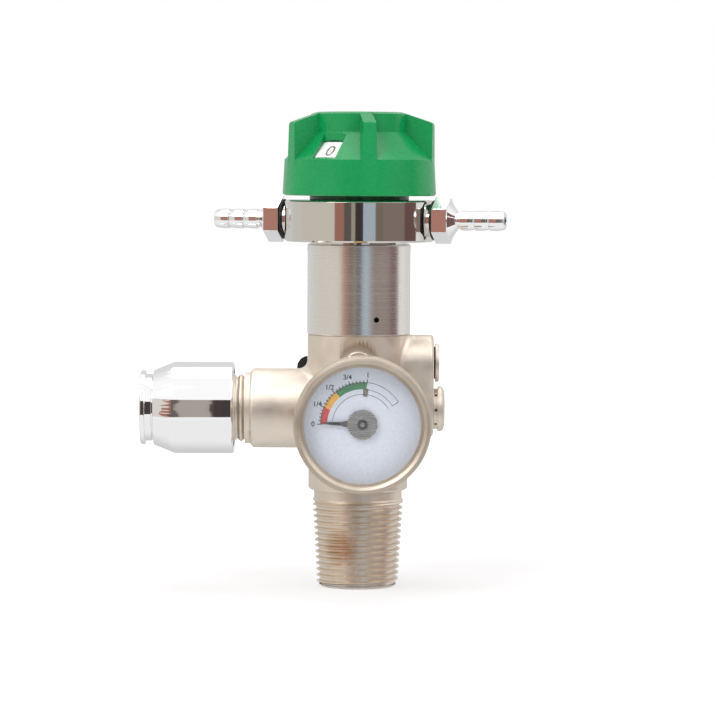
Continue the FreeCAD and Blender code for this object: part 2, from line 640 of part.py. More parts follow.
ABOVE = "forging_allowance + 1"
machining = [
    rod("top_facing", "2 * body_radius", "body_top", ABOVE),
    rod("dip_tube_hole", "dip_radius", "-1", "dip_depth + 1"),
    rod("filter_hole", "filter_radius", "0", "dip_depth + filter_length + 1"),
    rod("high_bore", "high_bore_radius", "0", "chamber_floor"),
    rod("nozzle_hole", "nozzle_radius", "chamber_floor - nozzle_depth", "nozzle_depth + 1"),
    rod("chamber", "chamber_radius", "chamber_floor", "body_top - chamber_floor"),
    rod("bonnet_hole", "bonnet_thread_radius", "bonnet_seat", f"body_top - bonnet_seat + {ABOVE}"),
    rod("low_drilling", "low_passage_radius", "port_height", "chamber_floor - port_height + 1",
        across="-low_passage_offset"),
    rod("low_cross", "low_passage_radius + 0.5", "low_passage_offset - low_passage_radius",
        "spring_pocket - low_passage_offset + low_passage_radius", TO_LEFT, "port_height"),
    rod("outlet_pocket", "outlet_bore", "spring_pocket", "spigot_end - spring_pocket + 1",
        TO_LEFT, "port_height"),
    rod("relief_hole", "relief_radius", "boss_reach - relief_depth", "relief_depth + 1",
        TO_RIGHT, "port_height"),
    rod("relief_passage", "low_passage_radius", "0", "boss_reach", TO_RIGHT, "port_height"),
    rod("side_hole", "side_plug_radius", "boss_reach - side_plug_length", "side_plug_length + 1",
        TO_RIGHT, "upper_port_height"),
    rod("side_passage", "low_passage_radius / 2", "0", "boss_reach", TO_RIGHT, "upper_port_height"),
    rod("front_recess", "front_recess_radius", "front_recess_depth", "body_radius",
        TO_FRONT, "upper_port_height"),
    rod("front_hole", "front_plug_radius", "front_recess_depth - front_plug_length", "body_radius",
        TO_FRONT, "upper_port_height"),
    rod("front_passage", "low_passage_radius / 2", "0", "body_radius", TO_FRONT, "upper_port_height"),
    rod("gauge_spot_face", "gauge_seat_radius", "gauge_seat", "body_radius",
        TO_FRONT, "gauge_height", "gauge_across"),
    rod("gauge_hole", "gauge_thread_radius", "gauge_seat - gauge_thread_length", "body_radius",
        TO_FRONT, "gauge_height", "gauge_across"),
    rod("gauge_passage", "low_passage_radius / 2", "0", "body_radius",
        TO_FRONT, "gauge_height", "gauge_across"),
    rod("fill_spot_face", "fill_seat_radius", "fill_seat", "body_radius", TO_BACK, "port_height"),
    rod("fill_hole", "fill_thread_radius", "fill_seat - fill_thread_length", "body_radius",
        TO_BACK, "port_height"),
    rod("fill_passage", "low_passage_radius", "0", "body_radius", TO_BACK, "port_height"),
]
valve_body = cut_from("valve_body", boss_rim, machining)

inlet_filter = turned("inlet_filter", [
    ("0", "dip_depth"),
    ("filter_radius - fit_gap", "dip_depth"),
    ("filter_radius - fit_gap", "dip_depth + filter_length - 1"),
    ("high_bore_radius", "dip_depth + filter_length"),
    ("0", "dip_depth + filter_length"),
])

# Regulator: gas leaves the nozzle under the piston's soft seat, rises through the hollow
# stem and pushes the piston down against its spring.

NOZZLE_FLANGE = "chamber_floor + nozzle_lip - nozzle_cone"
seat_nozzle = turned("seat_nozzle", [
    ("low_passage_radius / 2", "chamber_floor - nozzle_depth"),
    ("nozzle_radius - fit_gap", "chamber_floor - nozzle_depth"),
    ("nozzle_radius - fit_gap", "chamber_floor"),
    ("nozzle_radius + nozzle_flange", "chamber_floor"),
    ("nozzle_radius + nozzle_flange", NOZZLE_FLANGE),
    ("low_passage_radius + 5 * nozzle_cone / 4", NOZZLE_FLANGE),
    ("low_passage_radius", "chamber_floor + nozzle_lip"),
    ("low_passage_radius / 2", "chamber_floor + nozzle_lip"),
])

GUIDE_TOP = "(bonnet_seat + guide_flange)"
GUIDE_BORE = "piston_stem_radius + run_gap"
STEM_GROOVE_LOW = "(bonnet_seat + stem_groove_rise)"
STEM_GROOVE_HIGH = f"({STEM_GROOVE_LOW} + stem_groove_width)"
stem_guide = turned("stem_guide", [
    (GUIDE_BORE, "bonnet_seat"),
    ("bonnet_thread_radius - fit_gap", "bonnet_seat"),
    ("bonnet_thread_radius - fit_gap", GUIDE_TOP),
    ("guide_hub_radius", GUIDE_TOP),
    ("guide_hub_radius", f"{GUIDE_TOP} + guide_hub_height"),
    (GUIDE_BORE, f"{GUIDE_TOP} + guide_hub_height"),
    (GUIDE_BORE, STEM_GROOVE_HIGH),
    ("piston_stem_radius + shaft_groove", STEM_GROOVE_HIGH),
    ("piston_stem_radius + shaft_groove", STEM_GROOVE_LOW),
    (GUIDE_BORE, STEM_GROOVE_LOW),
])


def ring(label, inner, outer, low, high, facing=UPRIGHT, height="0", across="0", depth="0"):
    """A sealing ring whose section has its corners taken off."""
    corner = f"(({outer}) - ({inner})) / 4"
    piece = turned(label, [
        (inner, f"({low}) + {corner}"),
        (f"({inner}) + {corner}", low),
        (f"({outer}) - {corner}", low),
        (outer, f"({low}) + {corner}"),
        (outer, f"({high}) - {corner}"),
        (f"({outer}) - {corner}", high),
        (f"({inner}) + {corner}", high),
        (inner, f"({high}) - {corner}"),
    ])
    return place(piece, facing, height, across, depth)


stem_seal = ring("stem_seal", GUIDE_BORE, "piston_stem_radius + shaft_groove",
                 f"{STEM_GROOVE_LOW} + seal_slack", f"{STEM_GROOVE_HIGH} - seal_slack")

PISTON_TOP = "(bonnet_top - bonnet_deck - run_gap)"
PISTON_UNDER = f"({PISTON_TOP} - piston_head)"
PISTON_FOOT = "(chamber_floor + nozzle_lip + piston_lift + run_gap)"
PISTON_RADIUS = "piston_bore_radius - run_gap"
SEAL_LOW = f"{PISTON_UNDER} + piston_groove_rise"
SEAL_HIGH = f"{SEAL_LOW} + piston_groove_width"
regulator_piston = turned("regulator_piston", [
    ("seat_radius", PISTON_FOOT),
    ("piston_stem_radius", PISTON_FOOT),
    ("piston_stem_radius", f"{PISTON_UNDER} - 1.5"),
    ("guide_hub_radius", PISTON_UNDER),
    (PISTON_RADIUS, PISTON_UNDER),
    (PISTON_RADIUS, SEAL_LOW),
    ("piston_bore_radius - piston_groove", SEAL_LOW),
    ("piston_bore_radius - piston_groove", SEAL_HIGH),
    (PISTON_RADIUS, SEAL_HIGH),
    (PISTON_RADIUS, f"{PISTON_TOP} - 2 * edge_break"),
    (f"{PISTON_RADIUS} - 2 * edge_break", PISTON_TOP),
    ("low_passage_radius", PISTON_TOP),
    ("low_passage_radius", f"{PISTON_FOOT} + seat_thickness"),
    ("seat_radius", f"{PISTON_FOOT} + seat_thickness"),
])
cross_hole = new_sketch(regulator_piston, "XZ_Plane")
draw_circle(cross_hole, "0", f"{PISTON_FOOT} + seat_thickness + 1", "low_passage_radius / 2")
pocket(regulator_piston, cross_hole, "4 * piston_stem_radius", both_ways=True)

seat_disc = turned("seat_disc", [
    ("0", PISTON_FOOT),
    ("seat_radius - fit_gap", PISTON_FOOT),
    ("seat_radius - fit_gap", f"{PISTON_FOOT} + seat_thickness"),
    ("0", f"{PISTON_FOOT} + seat_thickness"),
])
piston_seal = ring("piston_seal", "piston_bore_radius - piston_groove", PISTON_RADIUS,
                   f"{SEAL_LOW} + seal_slack", f"{SEAL_HIGH} - seal_slack")
regulator_spring = coil("regulator_spring", "spring_radius", "spring_wire", GUIDE_TOP,
                        f"{PISTON_UNDER} - {GUIDE_TOP}", value("spring_turns"))

bonnet_turned = turned("bonnet_turned", [
    ("piston_bore_radius", GUIDE_TOP),
    ("bonnet_thread_radius - fit_gap", GUIDE_TOP),
    ("bonnet_thread_radius - fit_gap", "body_top"),
    ("bonnet_radius - edge_break", "body_top"),
    ("bonnet_radius", "body_top + edge_break"),
    ("bonnet_radius", "bonnet_top - edge_break"),
    ("bonnet_radius - edge_break", "bonnet_top"),
    ("spigot_radius", "bonnet_top"),
    ("spigot_radius", "bonnet_top + spigot_height"),
    ("0", "bonnet_top + spigot_height"),
    ("0", "bonnet_top - bonnet_deck"),
    ("piston_bore_radius", "bonnet_top - bonnet_deck"),
])
gas_drilling = new_sketch(bonnet_turned, "XY_Plane", "bonnet_top + spigot_height")
draw_circle(gas_drilling, "0", "orifice_ring_radius", "low_passage_radius / 2")
pocket(bonnet_turned, gas_drilling, "spigot_height + bonnet_deck + 1")
breather = rod("breather_drill", "vent_radius", "piston_bore_radius - 1", "bonnet_radius",
               FreeCAD.Rotation(Z_AXIS, value("vent_turn")) * TO_FRONT, "vent_height")
bonnet = cut_from("bonnet", bonnet_turned, [breather])

# Flow selector: a turning plate lines up one calibrated hole at a time.

COLLAR_UNDER = "(bonnet_top + collar_gap)"
COLLAR_TOP = f"({COLLAR_UNDER} + collar_height)"
CHAMBER_ROOF = f"({COLLAR_TOP} - selector_web)"
PAD_BOTTOM = "(bonnet_top + spigot_height)"
PLATE_BOTTOM = f"({PAD_BOTTOM} + pad_thickness + run_gap)"
PLATE_TOP = f"({PLATE_BOTTOM} + plate_thickness)"
SHAFT_BORE = "spindle_radius + run_gap"
SPINDLE_GROOVE_HIGH = f"({COLLAR_TOP} - spindle_groove_drop)"
SPINDLE_GROOVE_LOW = f"({SPINDLE_GROOVE_HIGH} - spindle_groove_width)"
collar_turned = turned("outlet_collar_turned", [
    ("spigot_radius + fit_gap", "bonnet_top"),
    ("collar_register_radius", "bonnet_top"),
    ("collar_register_radius", COLLAR_UNDER),
    ("collar_radius - edge_break", COLLAR_UNDER),
    ("collar_radius", f"{COLLAR_UNDER} + edge_break"),
    ("collar_radius", f"{COLLAR_TOP} - edge_break"),
    ("collar_radius - edge_break", COLLAR_TOP),
    (SHAFT_BORE, COLLAR_TOP),
    (SHAFT_BORE, SPINDLE_GROOVE_HIGH),
    ("spindle_radius + shaft_groove", SPINDLE_GROOVE_HIGH),
    ("spindle_radius + shaft_groove", SPINDLE_GROOVE_LOW),
    (SHAFT_BORE, SPINDLE_GROOVE_LOW),
    (SHAFT_BORE, CHAMBER_ROOF),
    ("selector_chamber_radius", CHAMBER_ROOF),
    ("selector_chamber_radius", f"{PAD_BOTTOM} + edge_break"),
    ("spigot_radius + fit_gap", f"{PAD_BOTTOM} + edge_break"),
])

BARB_HEIGHT = f"({COLLAR_UNDER} + barb_line)"
TO_RIGHT_BARB = FreeCAD.Rotation(Z_AXIS, value("barb_turn")) * TO_RIGHT
TO_LEFT_BARB = FreeCAD.Rotation(Z_AXIS, value("barb_turn") + 180) * TO_RIGHT
flats = []
bosses = []
collar_cuts = [
    rod("detent_drill", "ball_hole_radius", f"{COLLAR_TOP} - ball_hole_depth", "ball_hole_depth + 1",
        depth="detent_circle_radius"),
]
for side, facing in (("right", TO_RIGHT_BARB), ("left", TO_LEFT_BARB)):
    flats.append(rod(f"{side}_barb_flat", "collar_height", "barb_seat", "collar_radius", facing, BARB_HEIGHT))
    bosses.append(rod(f"{side}_barb_boss", "barb_boss_radius", "barb_seat - barb_boss", "2 * barb_boss",
                      facing, BARB_HEIGHT))
    collar_cuts.append(rod(f"{side}_barb_hole", "barb_thread_radius", "barb_seat - barb_thread_length",
                           "barb_thread_length + 2 * barb_boss", facing, BARB_HEIGHT))
    collar_cuts.append(rod(f"{side}_barb_passage", "barb_bore", "selector_chamber_radius - 1",
                           "collar_radius / 2", facing, BARB_HEIGHT))
collar_flatted = cut_from("outlet_collar_flatted", collar_turned, flats)
collar_bossed = joined("outlet_collar_bossed", [collar_flatted] + bosses)
outlet_collar = cut_from("outlet_collar", collar_bossed, collar_cuts)

selector_pad = turned("selector_pad", [
    ("0", PAD_BOTTOM),
    ("plate_radius - edge_break", PAD_BOTTOM),
    ("plate_radius - edge_break", f"{PAD_BOTTOM} + pad_thickness"),
    ("0", f"{PAD_BOTTOM} + pad_thickness"),
])
pad_hole = new_sketch(selector_pad, "XY_Plane", f"{PAD_BOTTOM} + pad_thickness")
draw_circle(pad_hole, "0", "orifice_ring_radius", "low_passage_radius / 2")
pocket(selector_pad, pad_hole, "pad_thickness + 1")

# The calibrated holes leave one place on the ring blank: that is the shut position.
orifice_plate = turned("orifice_plate", [
    ("spindle_pin_radius", PLATE_BOTTOM),
    ("plate_radius", PLATE_BOTTOM),
    ("plate_radius", PLATE_TOP),
    ("spindle_pin_radius", PLATE_TOP),
])
calibrated = new_sketch(orifice_plate, "XY_Plane", PLATE_TOP)
for setting in range(1, int(value("positions"))):
    bearing = f"(90 + {setting} * 360 / positions)"
    draw_circle(calibrated, f"orifice_ring_radius * cos({bearing})", f"orifice_ring_radius * sin({bearing})",
                f"orifice_radius * (0.4 + 0.6 * {setting} / positions)")
pocket(orifice_plate, calibrated, "plate_thickness + 1")

KNOB_BOTTOM = f"({COLLAR_TOP} + knob_gap)"
KNOB_TOP = f"({KNOB_BOTTOM} + knob_height)"
SCREW_SEAT = f"({KNOB_TOP} - cap_thickness - screw_head_height - screw_drop)"
selector_spindle = turned("selector_spindle", [
    ("0", f"{PLATE_BOTTOM} + 0.1"),
    ("spindle_pin_radius - fit_gap", f"{PLATE_BOTTOM} + 0.1"),
    ("spindle_pin_radius - fit_gap", PLATE_TOP),
    ("spindle_shoulder_radius", PLATE_TOP),
    ("spindle_shoulder_radius", f"{CHAMBER_ROOF} - run_gap"),
    ("spindle_radius", f"{CHAMBER_ROOF} - run_gap"),
    ("spindle_radius", f"{SCREW_SEAT} - 0.4"),
    ("screw_radius", f"{SCREW_SEAT} - 0.4"),
    ("screw_radius", f"{SCREW_SEAT} - screw_length - 0.5"),
    ("0", f"{SCREW_SEAT} - screw_length - 0.5"),
])
spindle_seal = ring("spindle_seal", SHAFT_BORE, "spindle_radius + shaft_groove",
                    f"{SPINDLE_GROOVE_LOW} + seal_slack", f"{SPINDLE_GROOVE_HIGH} - seal_slack")

detent_plate = turned("detent_plate", [
    ("spindle_radius + fit_gap", f"{COLLAR_TOP} + detent_gap"),
    ("detent_plate_radius", f"{COLLAR_TOP} + detent_gap"),
    ("detent_plate_radius", f"{COLLAR_TOP} + detent_gap + detent_plate_thickness"),
    ("spindle_radius + fit_gap", f"{COLLAR_TOP} + detent_gap + detent_plate_thickness"),
])
dimple = new_sketch(detent_plate, "XY_Plane", f"{COLLAR_TOP} + detent_gap")
draw_circle(dimple, "0", "detent_circle_radius", "ball_radius * 0.7")
dimple_cut = pocket(detent_plate, dimple, "detent_plate_thickness / 4", reverse=True)
ring_of(detent_plate, dimple_cut, "positions")

detent_ball = doc.addObject("Part::Sphere", "detent_ball")
detent_ball.setExpression("Radius", bound("ball_radius"))
place(detent_ball, UPRIGHT, f"{COLLAR_TOP} + detent_gap - run_gap - ball_radius",
      depth="detent_circle_radius")
BALL_HOLE_FLOOR = f"{COLLAR_TOP} - ball_hole_depth"
BALL_ROOM = "ball_hole_depth + detent_gap - run_gap - 2 * ball_radius"
coil("detent_spring", "ball_radius * 0.7", "ball_radius / 6", BALL_HOLE_FLOOR, BALL_ROOM, 5,
     depth="detent_circle_radius")

# Number dial, standing still under the knob.

FLOOR_SLOPE = "(floor_rise / (knob_rim_radius - hub_radius))"
FLOOR_TOP = f"({KNOB_BOTTOM} + skirt_height + floor_rise)"


def floor_height(radius, below="0"):
    """Height of the knob's sloping floor at a radius, or of a surface under it."""
    return f"{FLOOR_TOP} - ({radius} - hub_radius) * {FLOOR_SLOPE} - ({below})"


DIAL_SEAT = f"{COLLAR_TOP} + dial_base_height"
dial_base = turned("dial_base", [
    ("dial_base_bore", COLLAR_TOP),
    ("dial_base_radius", COLLAR_TOP),
    ("dial_base_radius", DIAL_SEAT),
    ("dial_base_bore", DIAL_SEAT),
])
DIAL_UP = "floor_thickness + dial_gap"
flow_dial = turned("flow_dial", [
    ("dial_base_bore", DIAL_SEAT),
    ("dial_base_radius", DIAL_SEAT),
    ("dial_base_radius", floor_height("dial_base_radius", f"{DIAL_UP} + dial_thickness")),
    ("dial_reach", floor_height("dial_reach", f"{DIAL_UP} + dial_thickness")),
    ("dial_reach", floor_height("dial_reach", DIAL_UP)),
    ("dial_base_bore", floor_height("dial_base_bore", DIAL_UP)),
])

# Flow knob: skirt, sloping floor, raised hub and five wide grip ribs.

HUB_BORE = "(hub_radius - hub_wall)"
knob_turned = turned("flow_knob_turned", [
    ("spindle_radius + fit_gap", f"{COLLAR_TOP} + detent_gap + detent_plate_thickness"),
    ("knob_boss_radius", f"{COLLAR_TOP} + detent_gap + detent_plate_thickness"),
    ("knob_boss_radius", f"{KNOB_TOP} - cap_thickness - knob_deck"),
    (HUB_BORE, f"{KNOB_TOP} - cap_thickness - knob_deck"),
    (HUB_BORE, floor_height(HUB_BORE, "floor_thickness")),
    ("knob_bore", floor_height("knob_bore", "floor_thickness")),
    ("knob_bore", KNOB_BOTTOM),
    ("knob_foot_radius - edge_break", KNOB_BOTTOM),
    ("knob_foot_radius", f"{KNOB_BOTTOM} + edge_break"),
    ("knob_rim_radius", f"{KNOB_BOTTOM} + skirt_height"),
    ("hub_radius", FLOOR_TOP),
    ("hub_radius", f"{KNOB_TOP} - (hub_radius - top_flat_radius) / 3"),
    ("top_flat_radius", KNOB_TOP),
    ("cap_radius", KNOB_TOP),
    ("cap_radius", f"{KNOB_TOP} - cap_thickness"),
    ("screw_head_radius + screw_head_gap", f"{KNOB_TOP} - cap_thickness"),
    ("screw_head_radius + screw_head_gap", SCREW_SEAT),
    ("spindle_radius + fit_gap", SCREW_SEAT),
])


def grip_rib(number):
    """One grip rib: its side view crossed with its plan, which widens outwards."""
    side = new_body(f"grip_{number}_side")
    side_sketch = new_sketch(side, "XZ_Plane")
    draw_corners(side_sketch, [
        ("top_flat_radius", f"{KNOB_TOP} - fit_gap"),
        ("grip_reach - 2.4 * edge_break", f"{KNOB_TOP} - grip_drop + 0.6 * edge_break"),
        ("grip_reach - 0.6 * edge_break", f"{KNOB_TOP} - grip_drop - 0.2 * edge_break"),
        ("grip_reach", f"{KNOB_TOP} - grip_drop - 1.8 * edge_break"),
        ("grip_reach", f"{KNOB_BOTTOM} + skirt_height - edge_break"),
        ("knob_bore + edge_break", f"{KNOB_BOTTOM} + skirt_height - edge_break"),
        ("top_flat_radius", floor_height("top_flat_radius", "floor_thickness / 2")),
    ])
    pad(side, side_sketch, "2 * grip_width").Midplane = True
    plan = new_body(f"grip_{number}_plan")
    plan_sketch = new_sketch(plan, "XY_Plane", f"{KNOB_BOTTOM} + skirt_height / 2")
    draw_corners(plan_sketch, [
        ("top_flat_radius / 2", "-grip_root_width / 2"),
        ("top_flat_radius", "-grip_root_width / 2"),
        ("grip_reach + 1", "-grip_width / 2"),
        ("grip_reach + 1", "grip_width / 2"),
        ("top_flat_radius", "grip_root_width / 2"),
        ("top_flat_radius / 2", "grip_root_width / 2"),
    ])
    pad(plan, plan_sketch, "knob_height")
    rib = doc.addObject("Part::MultiCommon", f"grip_{number}")
    rib.Shapes = [side, plan]
    return place(rib, FreeCAD.Rotation(Z_AXIS, value(f"grip_turn - 90 + 360 * {number} / grip_count")))


window_tool = new_body("window_tool")
window_sketch = new_sketch(window_tool, "XY_Plane", f"{KNOB_BOTTOM} + skirt_height - window_lip")
draw_corners(window_sketch, [
    ("window_inner", "-window_width / 2"),
    ("window_outer", "-window_width / 2"),
    ("window_outer", "window_width / 2"),
    ("window_inner", "window_width / 2"),
])
pad(window_tool, window_sketch, "knob_height")
place(window_tool, FreeCAD.Rotation(Z_AXIS, value("window_turn - 90")))
ribs = [grip_rib(number) for number in range(int(value("grip_count")))]
flow_knob = cut_from("flow_knob", joined("flow_knob_ribbed", [knob_turned] + ribs), [window_tool])

knob_cap = turned("knob_cap", [
    ("0", f"{KNOB_TOP} - cap_thickness"),
    ("cap_radius - fit_gap", f"{KNOB_TOP} - cap_thickness"),
    ("cap_radius - fit_gap", f"{KNOB_TOP} - 2 * fine_edge / 3"),
    ("cap_radius - fine_edge", KNOB_TOP),
    ("0", KNOB_TOP),
])
knob_screw = turned("knob_screw", [
    ("0", f"{SCREW_SEAT} - screw_length"),
    ("screw_radius - fit_gap", f"{SCREW_SEAT} - screw_length"),
    ("screw_radius - fit_gap", SCREW_SEAT),
    ("screw_head_radius", SCREW_SEAT),
    ("screw_head_radius", f"{SCREW_SEAT} + screw_head_height - 0.4"),
    ("screw_head_radius - 0.4", f"{SCREW_SEAT} + screw_head_height"),
    ("0", f"{SCREW_SEAT} + screw_head_height"),
])
screw_socket = new_sketch(knob_screw, "XY_Plane", f"{SCREW_SEAT} + screw_head_height")
draw_corners(screw_socket, hexagon("2 * screw_radius"))
pocket(knob_screw, screw_socket, "screw_head_height / 2")

# Hose barbs on the collar.

for side, facing in (("right", TO_RIGHT_BARB), ("left", TO_LEFT_BARB)):
    seal_start = "(barb_seat + barb_boss)"
    hex_start = f"({seal_start} + barb_seal_thickness)"
    hex_end = f"({hex_start} + barb_hex_length)"
    cone_end = f"({hex_end} + barb_cone)"
    barb_corners = [
        ("barb_bore", "barb_seat - barb_thread_length"),
        ("barb_thread_radius - fit_gap", "barb_seat - barb_thread_length"),
        ("barb_thread_radius - fit_gap", hex_start),
        ("barb_hex / 2 - edge_break", hex_start),
        ("barb_hex / 2 - edge_break", hex_end),
        ("barb_root_radius", cone_end),
        ("barb_root_radius", f"{cone_end} + barb_pitch / 5"),
    ]
    for ridge in range(int(value("barb_ridges"))):
        foot = f"{cone_end} + ({ridge} + 0.2) * barb_pitch"
        barb_corners.append(("barb_crest_radius", foot))
        barb_corners.append(("barb_crest_radius", f"{foot} + barb_pitch / 2"))
        barb_corners.append(("(barb_crest_radius + barb_root_radius) / 2", f"{foot} + 0.9 * barb_pitch"))
        barb_corners.append(("barb_root_radius", f"{foot} + barb_pitch"))
    barb_corners.append(("barb_bore", f"{cone_end} + (barb_ridges + 0.2) * barb_pitch"))
    barb = turned(f"hose_barb_{side}", barb_corners)
    hex_sketch = new_sketch(barb, "XY_Plane", hex_start)
    draw_corners(hex_sketch, hexagon("barb_hex"))
    draw_circle(hex_sketch, "0", "0", "barb_thread_radius - 2 * fit_gap")
    pad(barb, hex_sketch, "barb_hex_length")
    place(barb, facing, BARB_HEIGHT)
    barb_seal = turned(f"barb_seal_{side}", [
        ("barb_thread_radius", seal_start),
        ("barb_seal_radius - barb_seal_thickness / 4", seal_start),
        ("barb_seal_radius", f"{seal_start} + barb_seal_thickness / 4"),
        ("barb_seal_radius", f"{hex_start} - barb_seal_thickness / 4"),
        ("barb_seal_radius - barb_seal_thickness / 4", hex_start),
        ("barb_thread_radius", hex_start),
    ])
    place(barb_seal, facing, BARB_HEIGHT)

# Plugs and the burst-disc relief on the right boss, and the plug over the gauge.

side_plug = turned("side_plug", [
    ("0", "boss_reach - side_plug_length"),
    ("side_plug_radius - fit_gap", "boss_reach - side_plug_length"),
    ("side_plug_radius - fit_gap", "boss_reach + plug_seal_thickness"),
    ("side_plug_head", "boss_reach + plug_seal_thickness"),
    ("side_plug_head", "boss_reach + plug_seal_thickness + side_plug_head_height - fine_edge"),
    ("side_plug_head - fine_edge", "boss_reach + plug_seal_thickness + side_plug_head_height"),
    ("0", "boss_reach + plug_seal_thickness + side_plug_head_height"),
])
side_socket = new_sketch(side_plug, "XY_Plane", "boss_reach + plug_seal_thickness + side_plug_head_height")
draw_corners(side_socket, hexagon("side_plug_socket"))
pocket(side_plug, side_socket, "side_plug_length / 2")
place(side_plug, TO_RIGHT, "upper_port_height")
ring("side_plug_seal", "side_plug_radius", "plug_seal_radius",
     "boss_reach", "boss_reach + plug_seal_thickness", TO_RIGHT, "upper_port_height")

DISC_SEAT = "(boss_reach - relief_depth + burst_disc_thickness)"
RELIEF_COLLAR = "(boss_reach + relief_collar_height)"
RELIEF_TOP = f"({RELIEF_COLLAR} + relief_head_height)"
burst_disc = place(turned("burst_disc", [
    ("0", "boss_reach - relief_depth"),
    ("relief_radius - fit_gap", "boss_reach - relief_depth"),
    ("relief_radius - fit_gap", DISC_SEAT),
    ("0", DISC_SEAT),
]), TO_RIGHT, "port_height")
relief_plug = turned("relief_plug", [
    ("low_passage_radius", DISC_SEAT),
    ("relief_radius - fit_gap", DISC_SEAT),
    ("relief_radius - fit_gap", "boss_reach"),
    ("relief_collar_radius", "boss_reach"),
    ("relief_collar_radius", RELIEF_COLLAR),
    ("relief_head_radius", RELIEF_COLLAR),
    ("relief_head_radius", f"{RELIEF_COLLAR} + relief_head_height / 2"),
    ("relief_head_radius - relief_head_height / 4", f"{RELIEF_TOP} - relief_head_height / 5"),
    ("relief_head_radius - 0.8 * relief_head_height", RELIEF_TOP),
    ("0", RELIEF_TOP),
    ("0", RELIEF_COLLAR),
    ("low_passage_radius", RELIEF_COLLAR),
])
vent = new_sketch(relief_plug, "XZ_Plane")
draw_circle(vent, "0", "boss_reach + relief_collar_height / 2", "relief_vent_radius")
vent_cut = pocket(relief_plug, vent, "relief_head_radius")
ring_of(relief_plug, vent_cut, "relief_vents")
place(relief_plug, TO_RIGHT, "port_height")

front_plug = turned("front_plug", [
    ("0", "front_recess_depth - front_plug_length"),
    ("front_plug_radius - fit_gap", "front_recess_depth - front_plug_length"),
    ("front_plug_radius - fit_gap", "front_recess_depth"),
    ("front_plug_head", "front_recess_depth"),
    ("front_plug_head", "front_recess_depth + front_plug_height - fine_edge"),
    ("front_plug_head - fine_edge", "front_recess_depth + front_plug_height"),
    ("0", "front_recess_depth + front_plug_height"),
])
front_socket = new_sketch(front_plug, "XY_Plane", "front_recess_depth + front_plug_height")
draw_corners(front_socket, hexagon("side_plug_socket / 2"))
pocket(front_plug, front_socket, "front_plug_length / 2")
place(front_plug, TO_FRONT, "upper_port_height")

# Fill port behind: a connector with a check valve, closed by a push-on dust cap.

FILL_INNER = "(fill_seat - fill_thread_length)"
FILL_END = "(fill_seat + fill_length)"
FILL_LAND_OUT = f"({FILL_END} - fill_mouth_depth)"
FILL_LAND_IN = f"({FILL_LAND_OUT} - fill_land)"
fill_connector = place(turned("fill_connector", [
    ("fill_chamber_radius", FILL_INNER),
    ("fill_thread_radius - fit_gap", FILL_INNER),
    ("fill_thread_radius - fit_gap", "fill_seat"),
    ("fill_flange_radius - edge_break", "fill_seat"),
    ("fill_flange_radius", "fill_seat + edge_break"),
    ("fill_flange_radius", "fill_seat + fill_flange - edge_break"),
    ("fill_flange_radius - edge_break", "fill_seat + fill_flange"),
    ("fill_nose_radius", "fill_seat + fill_flange"),
    ("fill_nose_radius", f"{FILL_END} - 2 * edge_break"),
    ("fill_nose_radius - 2 * edge_break", FILL_END),
    ("fill_mouth_radius", FILL_END),
    ("fill_mouth_radius", FILL_LAND_OUT),
    ("fill_land_radius", FILL_LAND_OUT),
    ("fill_land_radius", FILL_LAND_IN),
    ("fill_chamber_radius", FILL_LAND_IN),
]), TO_BACK, "port_height")
fill_check = place(turned("fill_check", [
    ("0", f"{FILL_LAND_IN} - check_length"),
    ("fill_chamber_radius - 2 * run_gap", f"{FILL_LAND_IN} - check_length"),
    ("fill_chamber_radius - 2 * run_gap", f"{FILL_LAND_IN} - run_gap"),
    ("fill_land_radius - 5 * run_gap", f"{FILL_LAND_IN} - run_gap"),
    ("fill_land_radius - 5 * run_gap", f"{FILL_LAND_OUT} + check_nose"),
    ("0", f"{FILL_LAND_OUT} + check_nose"),
]), TO_BACK, "port_height")
coil("fill_spring", "fill_chamber_radius - 5 * fill_spring_wire / 2", "fill_spring_wire", FILL_INNER,
     f"{FILL_LAND_IN} - check_length - {FILL_INNER}", 4, TO_BACK, "port_height")

CAP_INNER = "(fill_nose_radius + cap_gap)"
CAP_OUTER = f"({CAP_INNER} + cap_wall)"
CAP_OPEN = "(fill_seat + fill_flange + cap_gap)"
CAP_CLOSED = f"({FILL_END} + cap_gap)"
dust_cap = turned("dust_cap", [
    (CAP_INNER, CAP_OPEN),
    (CAP_OUTER, CAP_OPEN),
    (CAP_OUTER, f"{CAP_CLOSED} + cap_end - 2 * edge_break"),
    (f"{CAP_OUTER} - 2 * edge_break", f"{CAP_CLOSED} + cap_end"),
    ("0", f"{CAP_CLOSED} + cap_end"),
    ("0", CAP_CLOSED),
    (CAP_INNER, CAP_CLOSED),
])
tab = new_sketch(dust_cap, "XY_Plane", CAP_CLOSED)
tab_corners = []
for reach, side in (
    (CAP_INNER, -1),
    ("tab_reach - tab_round", -1),
    ("tab_reach - 4 * tab_round / 13", -0.68),
    ("tab_reach", -0.25),
    ("tab_reach", 0.25),
    ("tab_reach - 4 * tab_round / 13", 0.68),
    ("tab_reach - tab_round", 1),
    (CAP_INNER, 1),
):
    tab_corners.append((
        f"-({reach}) * cos(tab_turn) - {side} * tab_width / 2 * sin(tab_turn)",
        f"-({reach}) * sin(tab_turn) + {side} * tab_width / 2 * cos(tab_turn)",
    ))
draw_corners(tab, tab_corners)
pad(dust_cap, tab, "cap_end")
place(dust_cap, TO_BACK, "port_height")

# Quick outlet: the release sleeve, pulled back towards the body, frees the locking balls.

